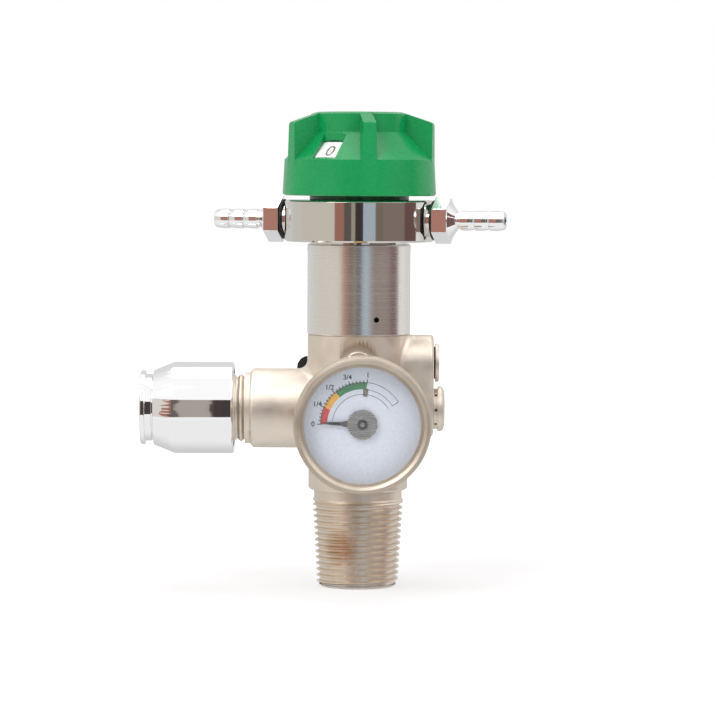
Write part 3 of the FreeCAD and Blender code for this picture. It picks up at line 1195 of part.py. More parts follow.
OUTLET_SPRING_END = "(spigot_end + socket_web)"
BALL_LINE = "(outlet_end - lock_ball_offset)"
RING_START = "(sleeve_end + sleeve_gap)"
SEAL_LINE = "(land_start + land_length + probe_seal_offset)"
socket = turned("coupling_body_turned", [
    ("outlet_thread_radius + fit_gap", "socket_start"),
    ("socket_skirt_radius", "socket_start"),
    ("socket_skirt_radius", OUTLET_SPRING_END),
    ("socket_radius", OUTLET_SPRING_END),
    ("socket_radius", RING_START),
    ("nose_thread_radius", RING_START),
    ("nose_thread_radius", "outlet_end - fine_edge"),
    ("outlet_bore + outlet_lead", "outlet_end - fine_edge"),
    ("outlet_bore", "outlet_end - 3 * outlet_lead / 2 - fine_edge"),
    ("outlet_bore", f"{SEAL_LINE} + probe_seal_section"),
    ("outlet_bore + probe_seal_section", f"{SEAL_LINE} + probe_seal_section"),
    ("outlet_bore + probe_seal_section", f"{SEAL_LINE} - probe_seal_section"),
    ("outlet_bore", f"{SEAL_LINE} - probe_seal_section"),
    ("outlet_bore", "land_start + land_length"),
    ("land_radius", "land_start + land_length"),
    ("land_radius", "land_start"),
    ("outlet_bore - run_gap", "land_start"),
    ("outlet_bore - run_gap", "spigot_end"),
    ("outlet_thread_radius + fit_gap", "spigot_end"),
])
ball_holes = []
for ball in range(int(value("lock_balls"))):
    outward = FreeCAD.Rotation(X_AXIS, 360 * ball / value("lock_balls")).multVec(Z_AXIS)
    facing = FreeCAD.Rotation(Z_AXIS, outward)
    ball_holes.append(rod(f"lock_ball_hole_{ball}", "lock_ball_radius + run_gap", "outlet_bore - 1",
                          "socket_radius", facing, "port_height", across=f"-{BALL_LINE}"))
place(socket, TO_LEFT, "port_height")
coupling_body = cut_from("coupling_body", socket, ball_holes)

BALL_CENTRE = "(socket_radius - lock_ball_radius)"
balls = []
for ball in range(int(value("lock_balls"))):
    angle = 360 * ball / value("lock_balls")
    sphere = doc.addObject("Part::Sphere", f"lock_ball_{ball}")
    sphere.setExpression("Radius", bound("lock_ball_radius"))
    place(sphere, UPRIGHT, f"port_height + {BALL_CENTRE} * cos({angle})", f"-{BALL_LINE}",
          f"-{BALL_CENTRE} * sin({angle})")
    balls.append(sphere)
locking_balls = joined("locking_balls", balls)

ring("probe_seal", "outlet_bore - 0.2", "outlet_bore + probe_seal_section - fit_gap",
     f"{SEAL_LINE} - probe_seal_section + fit_gap", f"{SEAL_LINE} + probe_seal_section - fit_gap",
     TO_LEFT, "port_height")

nose_ring = place(turned("nose_ring", [
    ("nose_thread_radius + fit_gap", RING_START),
    ("nose_groove_radius", RING_START),
    ("nose_groove_radius", "outlet_end - nose_flange"),
    ("nose_flange_radius", "outlet_end - nose_flange"),
    ("nose_flange_radius", "outlet_end - fine_edge"),
    ("nose_flange_radius - fine_edge", "outlet_end"),
    ("nose_thread_radius + fit_gap", "outlet_end"),
]), TO_LEFT, "port_height")

SLEEVE_BORE = "socket_radius + run_gap"
release_sleeve = place(turned("release_sleeve", [
    ("sleeve_pocket_radius", "sleeve_start"),
    ("sleeve_radius - edge_break", "sleeve_start"),
    ("sleeve_radius", "sleeve_start + edge_break"),
    ("sleeve_radius", "sleeve_cylinder_end"),
    ("sleeve_nose_radius", "sleeve_end"),
    ("socket_radius + ball_relief", "sleeve_end"),
    ("socket_radius + ball_relief", f"{BALL_LINE} + ball_land + ball_relief"),
    (SLEEVE_BORE, f"{BALL_LINE} + ball_land"),
    (SLEEVE_BORE, "sleeve_pocket_end"),
    ("sleeve_pocket_radius", "sleeve_pocket_end"),
]), TO_LEFT, "port_height")
coil("sleeve_spring", "(socket_skirt_radius + socket_radius) / 2", "sleeve_spring_wire", OUTLET_SPRING_END,
     f"sleeve_pocket_end - {OUTLET_SPRING_END}", 3, TO_LEFT, "port_height")

outlet_poppet = place(turned("outlet_poppet", [
    ("0", "land_start - poppet_length"),
    ("outlet_bore - 5 * run_gap", "land_start - poppet_length"),
    ("outlet_bore - 5 * run_gap", "land_start - run_gap"),
    ("land_radius - 5 * run_gap", "land_start - run_gap"),
    ("land_radius - 5 * run_gap", "land_start + land_length + poppet_nose - poppet_nose_cone"),
    ("land_radius - 5 * poppet_nose_cone / 3", "land_start + land_length + poppet_nose"),
    ("0", "land_start + land_length + poppet_nose"),
]), TO_LEFT, "port_height")
coil("outlet_spring", "outlet_bore - 8 * outlet_spring_wire / 3", "outlet_spring_wire", "spring_pocket",
     "land_start - poppet_length - spring_pocket", 4, TO_LEFT, "port_height")

# Contents gauge on the front.

GAUGE_DEPTH = "(gauge_back + gauge_case_depth)"
DIAL_BACK = "(gauge_back + dial_plate_depth)"
DIAL_FACE = f"({DIAL_BACK} + dial_plate_thickness)"
POINTER_BACK = f"({DIAL_FACE} + pointer_gap)"
gauge_socket = turned("gauge_socket", [
    ("low_passage_radius / 2", "gauge_seat - gauge_thread_length"),
    ("gauge_thread_radius - fit_gap", "gauge_seat - gauge_thread_length"),
    ("gauge_thread_radius - fit_gap", "gauge_back + gauge_wall + gauge_stub"),
    ("low_passage_radius / 2", "gauge_back + gauge_wall + gauge_stub"),
])
socket_hex = new_sketch(gauge_socket, "XY_Plane", "gauge_seat + gauge_seal_thickness")
draw_corners(socket_hex, hexagon("gauge_hex", FLAT_ON_TOP))
draw_circle(socket_hex, "0", "0", "gauge_thread_radius - 2 * fit_gap")
pad(gauge_socket, socket_hex, "gauge_back - gauge_seat - gauge_seal_thickness")
place(gauge_socket, TO_FRONT, "gauge_height", "gauge_across")
ring("gauge_seal", "gauge_thread_radius", "gauge_hex / 2 - 0.2",
     "gauge_seat", "gauge_seat + gauge_seal_thickness", TO_FRONT, "gauge_height", "gauge_across")

gauge_case = place(turned("gauge_case", [
    ("gauge_thread_radius", "gauge_back"),
    ("gauge_case_radius - 1", "gauge_back"),
    ("gauge_case_radius", "gauge_back + 1"),
    ("gauge_case_radius", GAUGE_DEPTH),
    ("gauge_case_radius - gauge_wall", GAUGE_DEPTH),
    ("gauge_case_radius - gauge_wall", "gauge_back + gauge_wall"),
    ("gauge_thread_radius", "gauge_back + gauge_wall"),
]), TO_FRONT, "gauge_height", "gauge_across")

LENS_FRONT = f"({GAUGE_DEPTH} + lens_thickness)"
gauge_bezel = place(turned("gauge_bezel", [
    ("gauge_case_radius + fit_gap", f"{LENS_FRONT} + bezel_lip - bezel_depth"),
    ("bezel_radius - edge_break", f"{LENS_FRONT} + bezel_lip - bezel_depth"),
    ("bezel_radius", f"{LENS_FRONT} + bezel_lip - bezel_depth + edge_break"),
    ("bezel_radius", f"{LENS_FRONT} + bezel_lip - 4 * bezel_bevel / 3"),
    ("bezel_radius - bezel_bevel", f"{LENS_FRONT} + bezel_lip"),
    ("bezel_lip_radius + bezel_lip / 2", f"{LENS_FRONT} + bezel_lip"),
    ("bezel_lip_radius", f"{LENS_FRONT} + bezel_lip / 2"),
    ("bezel_lip_radius", LENS_FRONT),
    ("gauge_case_radius + fit_gap", LENS_FRONT),
]), TO_FRONT, "gauge_height", "gauge_across")
gauge_lens = place(turned("gauge_lens", [
    ("0", GAUGE_DEPTH),
    ("gauge_case_radius - fit_gap", GAUGE_DEPTH),
    ("gauge_case_radius - fit_gap", LENS_FRONT),
    ("0", LENS_FRONT),
]), TO_FRONT, "gauge_height", "gauge_across")
gauge_dial = place(turned("gauge_dial", [
    ("arbor_radius + arbor_room", DIAL_BACK),
    ("gauge_case_radius - gauge_wall - fit_gap", DIAL_BACK),
    ("gauge_case_radius - gauge_wall - fit_gap", DIAL_FACE),
    ("arbor_radius + arbor_room", DIAL_FACE),
]), TO_FRONT, "gauge_height", "gauge_across")

gauge_pointer = new_body("gauge_pointer")
pointer_sketch = new_sketch(gauge_pointer, "XY_Plane", POINTER_BACK)
draw_corners(pointer_sketch, [
    ("pointer_hub_radius * 0.8", "pointer_root / 2"),
    ("-pointer_hub_radius * 0.8", "pointer_hub_radius / 2"),
    ("-pointer_hub_radius - pointer_tail", "pointer_root / 2"),
    ("-pointer_hub_radius - pointer_tail", "-pointer_root / 2"),
    ("-pointer_hub_radius * 0.8", "-pointer_hub_radius / 2"),
    ("pointer_hub_radius * 0.8", "-pointer_root / 2"),
    ("pointer_reach", "-pointer_tip / 2"),
    ("pointer_reach", "pointer_tip / 2"),
])
pad(gauge_pointer, pointer_sketch, "pointer_thickness")
hub_sketch = new_sketch(gauge_pointer, "XY_Plane", POINTER_BACK)
draw_circle(hub_sketch, "0", "0", "pointer_hub_radius")
pad(gauge_pointer, hub_sketch, "2 * pointer_thickness")
arbor_hole = new_sketch(gauge_pointer, "XY_Plane", f"{POINTER_BACK} + 2 * pointer_thickness")
draw_circle(arbor_hole, "0", "0", "arbor_radius")
pocket(gauge_pointer, arbor_hole, "3 * pointer_thickness")
place(gauge_pointer, TO_FRONT * FreeCAD.Rotation(Z_AXIS, value("pointer_rest")),
      "gauge_height", "gauge_across")

# Gauge movement: a coiled pressure tube round the socket turns the pointer's arbor by its arm.

PLATE_BACK = "(gauge_back + gauge_wall + gauge_stub)"
PLATE_FACE = f"({PLATE_BACK} + plate_wall)"
bearing_plate = turned("bearing_plate", [
    ("arbor_radius + run_gap", PLATE_BACK),
    ("gauge_thread_radius", PLATE_BACK),
    ("gauge_thread_radius", PLATE_FACE),
    ("arbor_radius + run_gap", PLATE_FACE),
])
place(bearing_plate, TO_FRONT, "gauge_height", "gauge_across")

TUBE_START = "(gauge_back + gauge_wall + tube_wire)"
coil("pressure_tube", "tube_radius", "tube_wire", TUBE_START, f"{PLATE_FACE} - {TUBE_START}",
     value("tube_turns"), TO_FRONT, "gauge_height", "gauge_across")

ARM_BACK = f"({PLATE_FACE} + 5 * run_gap)"
pointer_arbor = turned("pointer_arbor", [
    ("0", PLATE_BACK),
    ("arbor_radius", PLATE_BACK),
    ("arbor_radius", f"{POINTER_BACK} + 3 * pointer_thickness"),
    ("0", f"{POINTER_BACK} + 3 * pointer_thickness"),
])
arm_sketch = new_sketch(pointer_arbor, "XY_Plane", ARM_BACK)
draw_corners(arm_sketch, [
    ("0", "-arbor_radius"),
    ("tube_radius + tube_wire", "-arbor_radius"),
    ("tube_radius + tube_wire", "arbor_radius"),
    ("0", "arbor_radius"),
])
pad(pointer_arbor, arm_sketch, "pointer_thickness")
place(pointer_arbor, TO_FRONT, "gauge_height", "gauge_across")

# Every piece is written under its own name.

NODES = [
    "valve_body", "inlet_filter", "seat_nozzle", "stem_guide", "stem_seal", "regulator_piston", "seat_disc",
    "piston_seal", "regulator_spring", "bonnet", "outlet_collar", "selector_pad", "orifice_plate",
    "selector_spindle", "spindle_seal", "detent_plate", "detent_ball", "detent_spring", "dial_base",
    "flow_dial", "flow_knob", "knob_cap", "knob_screw", "hose_barb_left", "hose_barb_right",
    "barb_seal_left", "barb_seal_right", "side_plug", "side_plug_seal", "relief_plug", "burst_disc",
    "front_plug",
    "fill_connector", "fill_check", "fill_spring", "dust_cap", "coupling_body", "locking_balls", "probe_seal",
    "nose_ring", "release_sleeve", "sleeve_spring", "outlet_poppet", "outlet_spring", "gauge_socket",
    "gauge_seal", "gauge_case", "gauge_bezel", "gauge_lens", "gauge_dial", "gauge_pointer", "pointer_arbor",
    "bearing_plate", "pressure_tube",
]
doc.recompute()
for item in doc.Objects:
    if "Invalid" in item.State or "Error" in item.State:
        raise RuntimeError(f"{item.Label} failed")
pieces = {label: doc.getObjectsByLabel(label)[0] for label in NODES}
for label, piece in pieces.items():
    if piece.Shape.isNull() or not piece.Shape.isValid() or not piece.Shape.Solids:
        raise RuntimeError(f"{label} is not a sound solid")
os.makedirs("parts", exist_ok=True)
for label, piece in pieces.items():
    piece.Shape.exportStep(f"parts/{label}.step")
print(f"{len(pieces)} pieces written")
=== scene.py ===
import json
import math

import bmesh
import bpy
from bpy.props import FloatProperty, FloatVectorProperty, IntProperty, PointerProperty
from bpy.types import Operator, Panel, PropertyGroup
from mathutils import Matrix, Vector


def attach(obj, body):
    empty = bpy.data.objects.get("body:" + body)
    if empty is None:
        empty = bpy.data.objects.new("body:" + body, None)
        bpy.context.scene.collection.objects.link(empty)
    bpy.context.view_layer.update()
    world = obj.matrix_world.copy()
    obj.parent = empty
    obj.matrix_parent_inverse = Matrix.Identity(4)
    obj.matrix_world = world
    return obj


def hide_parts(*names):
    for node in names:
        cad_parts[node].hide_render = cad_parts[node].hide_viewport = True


bl_info = {
    "name": "Medical gas regulator",
    "version": (1, 0, 0),
    "blender": (4, 5, 0),
    "location": "3D View > Sidebar > Regulator",
    "description": "Dresses the packed regulator: metals, mouldings, gauge print and stage",
    "category": "Object",
}

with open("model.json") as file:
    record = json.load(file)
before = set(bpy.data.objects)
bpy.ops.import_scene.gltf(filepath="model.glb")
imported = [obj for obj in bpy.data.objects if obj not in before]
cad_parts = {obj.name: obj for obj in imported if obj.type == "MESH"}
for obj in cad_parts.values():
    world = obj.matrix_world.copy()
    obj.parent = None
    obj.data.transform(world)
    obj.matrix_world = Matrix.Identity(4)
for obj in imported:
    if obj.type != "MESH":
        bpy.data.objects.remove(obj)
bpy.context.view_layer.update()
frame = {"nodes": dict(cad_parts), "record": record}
NODES = frame["nodes"]
MM = 0.001
FULL_TURN = 2 * math.pi
UP = (0, 0, 1)
ORIGIN = (0, 0, 0)
NOISE_RANGE = (0.3, 0.7)
# Lathe marks and blasted grain are finer on the real part; they are drawn this coarse so that they show
MARK_SIZE = 0.35
GRAIN_SIZE = 0.45
ARC_STEP = 3
SIZE_PER_HEIGHT = 1.38
FINISH = {}


def linear(code):
    """An sRGB hex colour as linear red, green, blue and alpha."""
    parts = [int(code[at:at + 2], 16) / 255 for at in (1, 3, 5)]
    return tuple(c / 12.92 if c <= 0.04045 else ((c + 0.055) / 1.055) ** 2.4 for c in parts) + (1.0,)


def length(name, default, text):
    """A size that can be changed in the sidebar, given in millimetres."""
    return FloatProperty(name=name, description=text, default=default * MM,
                         unit="LENGTH", subtype="DISTANCE")


def degrees(name, default, text):
    """An angle that can be changed in the sidebar."""
    return FloatProperty(name=name, description=text, default=math.radians(default),
                         unit="ROTATION", subtype="ANGLE")


def colour(name, default, text):
    """A colour that can be changed in the sidebar, given as sRGB hex."""
    return FloatVectorProperty(name=name, description=text, default=linear(default), size=4,
                               min=0, max=1, subtype="COLOR")


class RegulatorSizes(PropertyGroup):
    """Sizes of the regulator's own shapes."""
    port_height: length("Port height", 54.5, "Axis of the quick outlet")
    thread_root: length("Thread root", 11.25, "Stem thread, root radius at the bottom")
    thread_depth: length("Thread depth", 1.1, "Stem thread, crest to root")
    thread_pitch: length("Thread pitch", 1.814, "Stem thread, 14 turns per inch")
    thread_top: length("Thread top", 26.6, "Where the stem thread runs out")
    thread_runout: length("Thread run-out", 2.0, "Length over which the stem thread fades into its neck")
    thread_taper: FloatProperty(name="Thread taper", default=0.06,
                                description="Growth of the stem's radius with its height")
    gauge_across: length("Gauge offset", 1.3, "Gauge axis, to the right of the stem")
    gauge_height: length("Gauge height", 52.0, "Axis of the gauge")
    pointer_rest: degrees("Pointer rest", 178.0, "Pointer at rest, anticlockwise from the right")
    figure_height: length("Gauge figure height", 1.5, "Numbers on the gauge")
    flow_figure_height: length("Flow figure height", 5.0, "Numbers on the flow dial")
    rib_width: length("Rib width", 3.9, "Grip ribs of the knob")
    window_turn: degrees("Window", -29.0, "Knob window, to the right of the front")
    settings: IntProperty(name="Settings", description="Positions of the flow knob", default=12,
                          min=2, max=16)


class RegulatorColours(PropertyGroup):
    """Colours of the regulator's finishes."""
    forging: colour("Nickel forging", "#EBE0D3", "Satin nickel over the forged brass body")
    stain: colour("Stain", "#B98B55", "Where the brass shows through on the stem")
    steel: colour("Turned metal", "#EDEAE6", "Bonnet")
    collar: colour("Polished collar", "#DEDAD5", "Outlet collar")
    chrome: colour("Bright chrome", "#FAFAFB", "Quick outlet and hose barbs")
    gauge: colour("Gauge nickel", "#CFC3B4", "Gauge case and bezel")
    brass: colour("Machined brass", "#D6B26A", "Inner parts")
    knob: colour("Knob green", "#048D4B", "Flow knob")
    sleeve: colour("Dark green", "#0E7E46", "Sleeve under the knob")
    dial: colour("Dial white", "#CED3E0", "Gauge dial")


def stage_sizes():
    return bpy.context.scene.regulator_sizes


def stage_colours():
    return bpy.context.scene.regulator_colours


# Materials

def add(tree, kind, settings=None, links=None):
    """A node with its settings, by property or socket name, and the sockets that feed it."""
    item = tree.nodes.new(kind)
    for key, setting in (settings or {}).items():
        if isinstance(key, str) and hasattr(item, key):
            setattr(item, key, setting)
        else:
            item.inputs[key].default_value = setting
    for key, source in (links or {}).items():
        tree.links.new(source, item.inputs[key])
    return item


def empty_tree(owner):
    """The node tree of a material or world, with nothing in it yet."""
    owner.use_nodes = True
    owner.node_tree.nodes.clear()
    return owner.node_tree


def new_material(name, settings, make):
    """A principled material; make(tree) returns the sockets that feed its shader."""
    material = bpy.data.materials.new(name)
    tree = empty_tree(material)
    shader = add(tree, "ShaderNodeBsdfPrincipled", settings, make(tree))
    add(tree, "ShaderNodeOutputMaterial", links={"Surface": shader.outputs[0]})
    return material


def spots(tree, size, detail=2.0):
    """Noise with patches of a real size in millimetres, on object coordinates."""
    return add(tree, "ShaderNodeTexNoise", {"Scale": 1 / (size * MM), "Detail": detail},
               {"Vector": add(tree, "ShaderNodeTexCoord").outputs["Object"]}).outputs["Fac"]


def stretch(low, high):
    """Settings that make a noise value run from low to high."""
    return {"From Min": NOISE_RANGE[0], "From Max": NOISE_RANGE[1], "To Min": low, "To Max": high}


def patterned(tree, tint=None, rough=None, relief=None):
    """Feeds for a shader, each with its noise: two colours, two roughnesses, a depth in millimetres."""
    feeds = {}
    if tint:
        noise, first, second = tint
        share = add(tree, "ShaderNodeMapRange", stretch(0, 1), {"Value": noise})
        feeds["Base Color"] = add(tree, "ShaderNodeMix", {"data_type": "RGBA", 6: first, 7: second},
                                  {0: share.outputs[0]}).outputs[2]
    if rough:
        noise, low, high = rough
        feeds["Roughness"] = add(tree, "ShaderNodeMapRange", stretch(low, high), {"Value": noise}).outputs[0]
    if relief:
        noise, depth = relief
        feeds["Normal"] = add(tree, "ShaderNodeBump", {"Strength": 1.0, "Distance": depth * MM},
                              {"Height": noise}).outputs[0]
    return feeds


def shade(rgba, factor):
    """A colour made lighter or darker."""
    return tuple(min(1.0, part * factor) for part in rgba[:3]) + (1.0,)


def turning_marks(tree, along, centre):
    """Noise that is the same all round an axis, like the marks of a lathe tool."""
    point = add(tree, "ShaderNodeVectorMath", {"operation": "SUBTRACT", 1: centre},
                {0: add(tree, "ShaderNodeTexCoord").outputs["Object"]}).outputs[0]
    across = add(tree, "ShaderNodeVectorMath", {"operation": "MULTIPLY", 1: [1 - part for part in along]},
                 {0: point})
    radius = add(tree, "ShaderNodeVectorMath", {"operation": "LENGTH"}, {0: across.outputs[0]})
    height = add(tree, "ShaderNodeVectorMath", {"operation": "DOT_PRODUCT", 1: along}, {0: point})
    place = add(tree, "ShaderNodeCombineXYZ",
                links={"X": radius.outputs["Value"], "Y": height.outputs["Value"]})
    return add(tree, "ShaderNodeTexNoise", {"Scale": 1 / (MARK_SIZE * MM), "Detail": 1.0},
               {"Vector": place.outputs[0]}).outputs["Fac"]


def forged_nickel(name, base):
    """Satin nickel plate over shot-blasted forged brass: warm, soft highlights and a fine grain."""
    def make(tree):
        cloud = spots(tree, size=6.0)
        return patterned(tree, tint=(cloud, shade(base, 0.93), shade(base, 1.05)), rough=(cloud, 0.42, 0.52),
                         relief=(spots(tree, GRAIN_SIZE), 0.03))
    return new_material(name, {"Metallic": 1.0}, make)


def stained_nickel(name, base, stain, centre, reach):
    """Turned satin nickel, worn through to tarnished brass round one spot."""
    ragged_share, full_share, clean_share, strongest = 0.6, 0.8, 1.5, 0.5

    def make(tree):
        marks = turning_marks(tree, UP, ORIGIN)
        away = add(tree, "ShaderNodeVectorMath", {"operation": "SUBTRACT", 1: centre},
                   {0: add(tree, "ShaderNodeTexCoord").outputs["Object"]})
        far = add(tree, "ShaderNodeVectorMath", {"operation": "LENGTH"}, {0: away.outputs[0]})
        ragged = add(tree, "ShaderNodeMath", {"operation": "MULTIPLY_ADD", 1: ragged_share * reach},
                     {0: spots(tree, size=2.5, detail=3.0), 2: far.outputs["Value"]})
        worn = add(tree, "ShaderNodeMapRange",
                   {"From Min": full_share * reach, "From Max": clean_share * reach,
                    "To Min": strongest, "To Max": 0.0}, {"Value": ragged.outputs[0]})
        feeds = patterned(tree, rough=(marks, 0.32, 0.42), relief=(marks, 0.004))
        feeds["Base Color"] = add(tree, "ShaderNodeMix", {"data_type": "RGBA", 6: base, 7: stain},
                                  {0: worn.outputs[0]}).outputs[2]
        return feeds
    return new_material(name, {"Metallic": 1.0}, make)


def turned_metal(name, base, rough, along=UP, centre=ORIGIN, depth=0.002):
    """Metal off the lathe: fine rings round its axis, which draw its reflections out a little."""
    def make(tree):
        marks = turning_marks(tree, along, centre)
        return patterned(tree, rough=(marks, *rough), relief=(marks, depth))
    return new_material(name, {"Metallic": 1.0, "Base Color": base}, make)


def polished(name, base, rough=(0.03, 0.07)):
    """Bright plated metal: clear reflections with a slight cloudiness from handling."""
    def make(tree):
        return patterned(tree, rough=(spots(tree, size=4.0), *rough))
    return new_material(name, {"Metallic": 1.0, "Base Color": base}, make)


def moulded(name, base, rough=(0.24, 0.32)):
    """Injection-moulded ABS: even colour, soft shine and a faint moulding texture."""
    def make(tree):
        return patterned(tree, tint=(spots(tree, size=9.0), shade(base, 0.97), shade(base, 1.03)),
                         rough=(spots(tree, size=2.5), *rough), relief=(spots(tree, size=0.6), 0.002))
    return new_material(name, {"IOR": 1.46}, make)


def rubber(name, base):
    """Moulded nitrile rubber: near black, dull, with a fine skin."""
    def make(tree):
        return patterned(tree, rough=(spots(tree, size=1.5), 0.5, 0.62), relief=(spots(tree, size=0.5), 0.01))
    return new_material(name, {"Base Color": base, "IOR": 1.5}, make)


def printed(name, base):
    """Screen-printed ink on the dials: flat, slightly uneven."""
    def make(tree):
        return patterned(tree, tint=(spots(tree, size=0.8), shade(base, 0.94), shade(base, 1.06)))
    return new_material(name, {"Roughness": 0.5}, make)


def clear_lens(name):
    """Clear moulded polycarbonate: almost unseen but for its shine."""
    def make(tree):
        return patterned(tree, rough=(spots(tree, size=5.0), 0.03, 0.06))
    return new_material(name, {"Base Color": linear("#F4F8FA"), "Alpha": 0.04, "IOR": 1.3}, make)


def materials():
    """Every finish of the regulator, made once."""
    if FINISH:
        return FINISH
    tone = stage_colours()
    port_axis = (0, 0, stage_sizes().port_height)
    FINISH.update({
        "forging": forged_nickel("satin_nickel_forging", tone.forging),
        "thread": stained_nickel("satin_nickel_turned", tone.forging, tone.stain,
                                 centre=(-0.006, -0.012, 0.0125), reach=0.0055),
        "steel": turned_metal("turned_chromed_brass", tone.steel, rough=(0.22, 0.30)),
        "collar": turned_metal("polished_chromed_brass", tone.collar, rough=(0.05, 0.09), depth=0.001),
        "outlet": turned_metal("polished_chrome_outlet", tone.chrome, rough=(0.03, 0.06),
                               along=(1, 0, 0), centre=port_axis, depth=0.0004),
        "chrome": polished("polished_chrome", tone.chrome),
        "gauge": forged_nickel("satin_nickel_gauge", tone.gauge),
        "brass": turned_metal("machined_brass", tone.brass, rough=(0.2, 0.3)),
        "spring": polished("drawn_spring_wire", linear("#B9B9BC"), rough=(0.2, 0.3)),
        "knob": moulded("green_abs_moulding", tone.knob),
        "sleeve": moulded("dark_green_abs_moulding", tone.sleeve),
        "white": moulded("white_abs_moulding", linear("#EEEFEC")),
        "rubber": rubber("black_nitrile_rubber", linear("#121214")),
        "nylon": moulded("natural_nylon", linear("#E8E2D2"), rough=(0.4, 0.5)),
        "bronze": forged_nickel("sintered_bronze", linear("#9C7B4E")),
        "dial": printed("white_dial_enamel", tone.dial),
        "ink": printed("dark_grey_ink", linear("#24262B")),
        "grey": printed("grey_ink", linear("#6F6763")),
        "red": printed("red_ink", linear("#C8202A")),
        "yellow": printed("yellow_ink", linear("#E8A828")),
        "green": printed("green_ink", linear("#1E7A42")),
        "black": printed("black_enamel", linear("#141416")),
        "lens": clear_lens("clear_polycarbonate"),
    })
    return FINISH


# Shapes

def profile(corners, closed=False, soft=0.0):
    """A wire of (radius, height) corners in millimetres, each corner eased by a small round."""
    shape = bmesh.new()
    row = [shape.verts.new((radius * MM, 0, height * MM)) for radius, height in corners]
    for start, end in zip(row, row[1:] + row[:1] if closed else row[1:]):
        shape.edges.new((start, end))
    if soft:
        bmesh.ops.bevel(shape, geom=row if closed else row[1:-1], offset=soft * MM, affect="VERTICES",
                        segments=2, profile=0.5, clamp_overlap=True, material=-1)
    return shape


def turned(corners, closed=False, soft=0.0, steps=96):
    """A shape turned about local Z."""
    shape = profile(corners, closed, soft)
    bmesh.ops.spin(shape, geom=shape.verts[:] + shape.edges[:], cent=ORIGIN, axis=UP,
                   angle=FULL_TURN, steps=steps, use_merge=True)
    return shape


def swept_edge(ends, start, end, steps):
    """An edge between two points, swept about local Z between two angles in degrees."""
    shape = bmesh.new()
    turn = Matrix.Rotation(math.radians(start), 4, "Z")
    low, high = (shape.verts.new(turn @ Vector(point)) for point in ends)
    edge = shape.edges.new((low, high))
    bmesh.ops.spin(shape, geom=[low, high, edge], cent=ORIGIN, axis=UP,
                   angle=math.radians(end - start), steps=steps)
    return shape


def arc_band(inner, outer, start, end, lift):
    """A flat band of a ring, in millimetres and degrees anticlockwise from the right."""
    ends = [(reach * MM, 0, lift * MM) for reach in (inner, outer)]
    return swept_edge(ends, start, end, max(1, round(abs(end - start) / ARC_STEP)))


def joined(shapes):
    """Several shapes as one."""
    whole = bmesh.new()
    for shape in shapes:
        mesh = bpy.data.meshes.new("part")
        shape.to_mesh(mesh)
        shape.free()
        whole.from_mesh(mesh)
        bpy.data.meshes.remove(mesh)
    return whole


def merged(node):
    """A merged copy of a CAD node's mesh, with its flat faces whole again."""
    shape = bmesh.new()
    shape.from_mesh(NODES[node].data)
    bmesh.ops.remove_doubles(shape, verts=shape.verts, dist=1e-6)
    bmesh.ops.dissolve_limit(shape, angle_limit=math.radians(0.6), verts=shape.verts, edges=shape.edges)
    return shape


def linked(name, shape):
    """A new object with the shape as its mesh, in the scene's collection."""
    mesh = bpy.data.meshes.new(name)
    shape.to_mesh(mesh)
    shape.free()
    piece = bpy.data.objects.new(name, mesh)
    bpy.context.scene.collection.objects.link(piece)
    return piece


def finish(name, shape, material, body="valve", nodes=(), place=None, ease=0.0,
           crease=35, outward=True):
    """A finished piece: placed, shaded, dressed, and riding on its body."""
    if place is not None:
        bmesh.ops.transform(shape, matrix=place, verts=shape.verts)
    if outward:
        bmesh.ops.remove_doubles(shape, verts=shape.verts, dist=1e-7)
        bmesh.ops.recalc_face_normals(shape, faces=shape.faces)
    piece = linked(name, shape)
    piece.data.shade_smooth()
    piece.data.set_sharp_from_angle(angle=math.radians(crease))
    piece.data.materials.append(materials()[material])
    if ease:
        bevel = piece.modifiers.new("Broken edges", "BEVEL")
        bevel.width = ease * MM
        bevel.segments = 2
        bevel.limit_method = "ANGLE"
        bevel.angle_limit = math.radians(30)
        bevel.use_clamp_overlap = True
    piece.modifiers.new("Even shading", "WEIGHTED_NORMAL").keep_sharp = True
    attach(piece, body)
    if nodes:
        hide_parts(*nodes)
    return piece


def dress(node, material, ease=0.12, body="valve"):
    """A CAD node's own shape, merged, with its turned edges broken."""
    return finish(node + "_finished", merged(node), material, body, (node,), ease=ease)


def figure(text, height, bold=0.0):
    """A number as a flat shape centred on its own origin; bold widens its strokes by a share of its size."""
    curve = bpy.data.curves.new("figure", "FONT")
    curve.body = text
    curve.size = height * SIZE_PER_HEIGHT
    curve.offset = bold * curve.size
    curve.align_x = "CENTER"
    curve.align_y = "CENTER"
    holder = bpy.data.objects.new("figure", curve)
    bpy.context.scene.collection.objects.link(holder)
    mesh = bpy.data.meshes.new_from_object(holder.evaluated_get(bpy.context.evaluated_depsgraph_get()))
    shape = bmesh.new()
    shape.from_mesh(mesh)
    bpy.data.objects.remove(holder)
    bpy.data.curves.remove(curve)
    bpy.data.meshes.remove(mesh)
    return shape


def put(shape, matrix):
    """The shape, moved."""
    bmesh.ops.transform(shape, matrix=matrix, verts=shape.verts)
    return shape


SLOT_FINISHES = {
    "nickel_brass": "forging", "turned_steel": "steel", "bright_chrome": "chrome",
    "plain_brass": "brass", "spring_steel": "spring", "green_plastic": "knob",
    "white_plastic": "white", "black_rubber": "rubber", "seat_nylon": "nylon",
    "sintered_bronze": "bronze", "gauge_nickel": "gauge", "dial_white": "dial",
    "lens_clear": "lens", "pointer_black": "ink",
}


class REGULATOR_OT_hidden(Operator):
    """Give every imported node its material, the hidden ones included"""
    bl_idname = "regulator.hidden"
    bl_label = "Packed nodes"

    def execute(self, context):
        for part in frame["record"]["subparts"]:
            node = NODES[part["node"]]
            node.data.materials.clear()
            node.data.materials.append(materials()[SLOT_FINISHES[part["material_slot"]]])
        return {"FINISHED"}


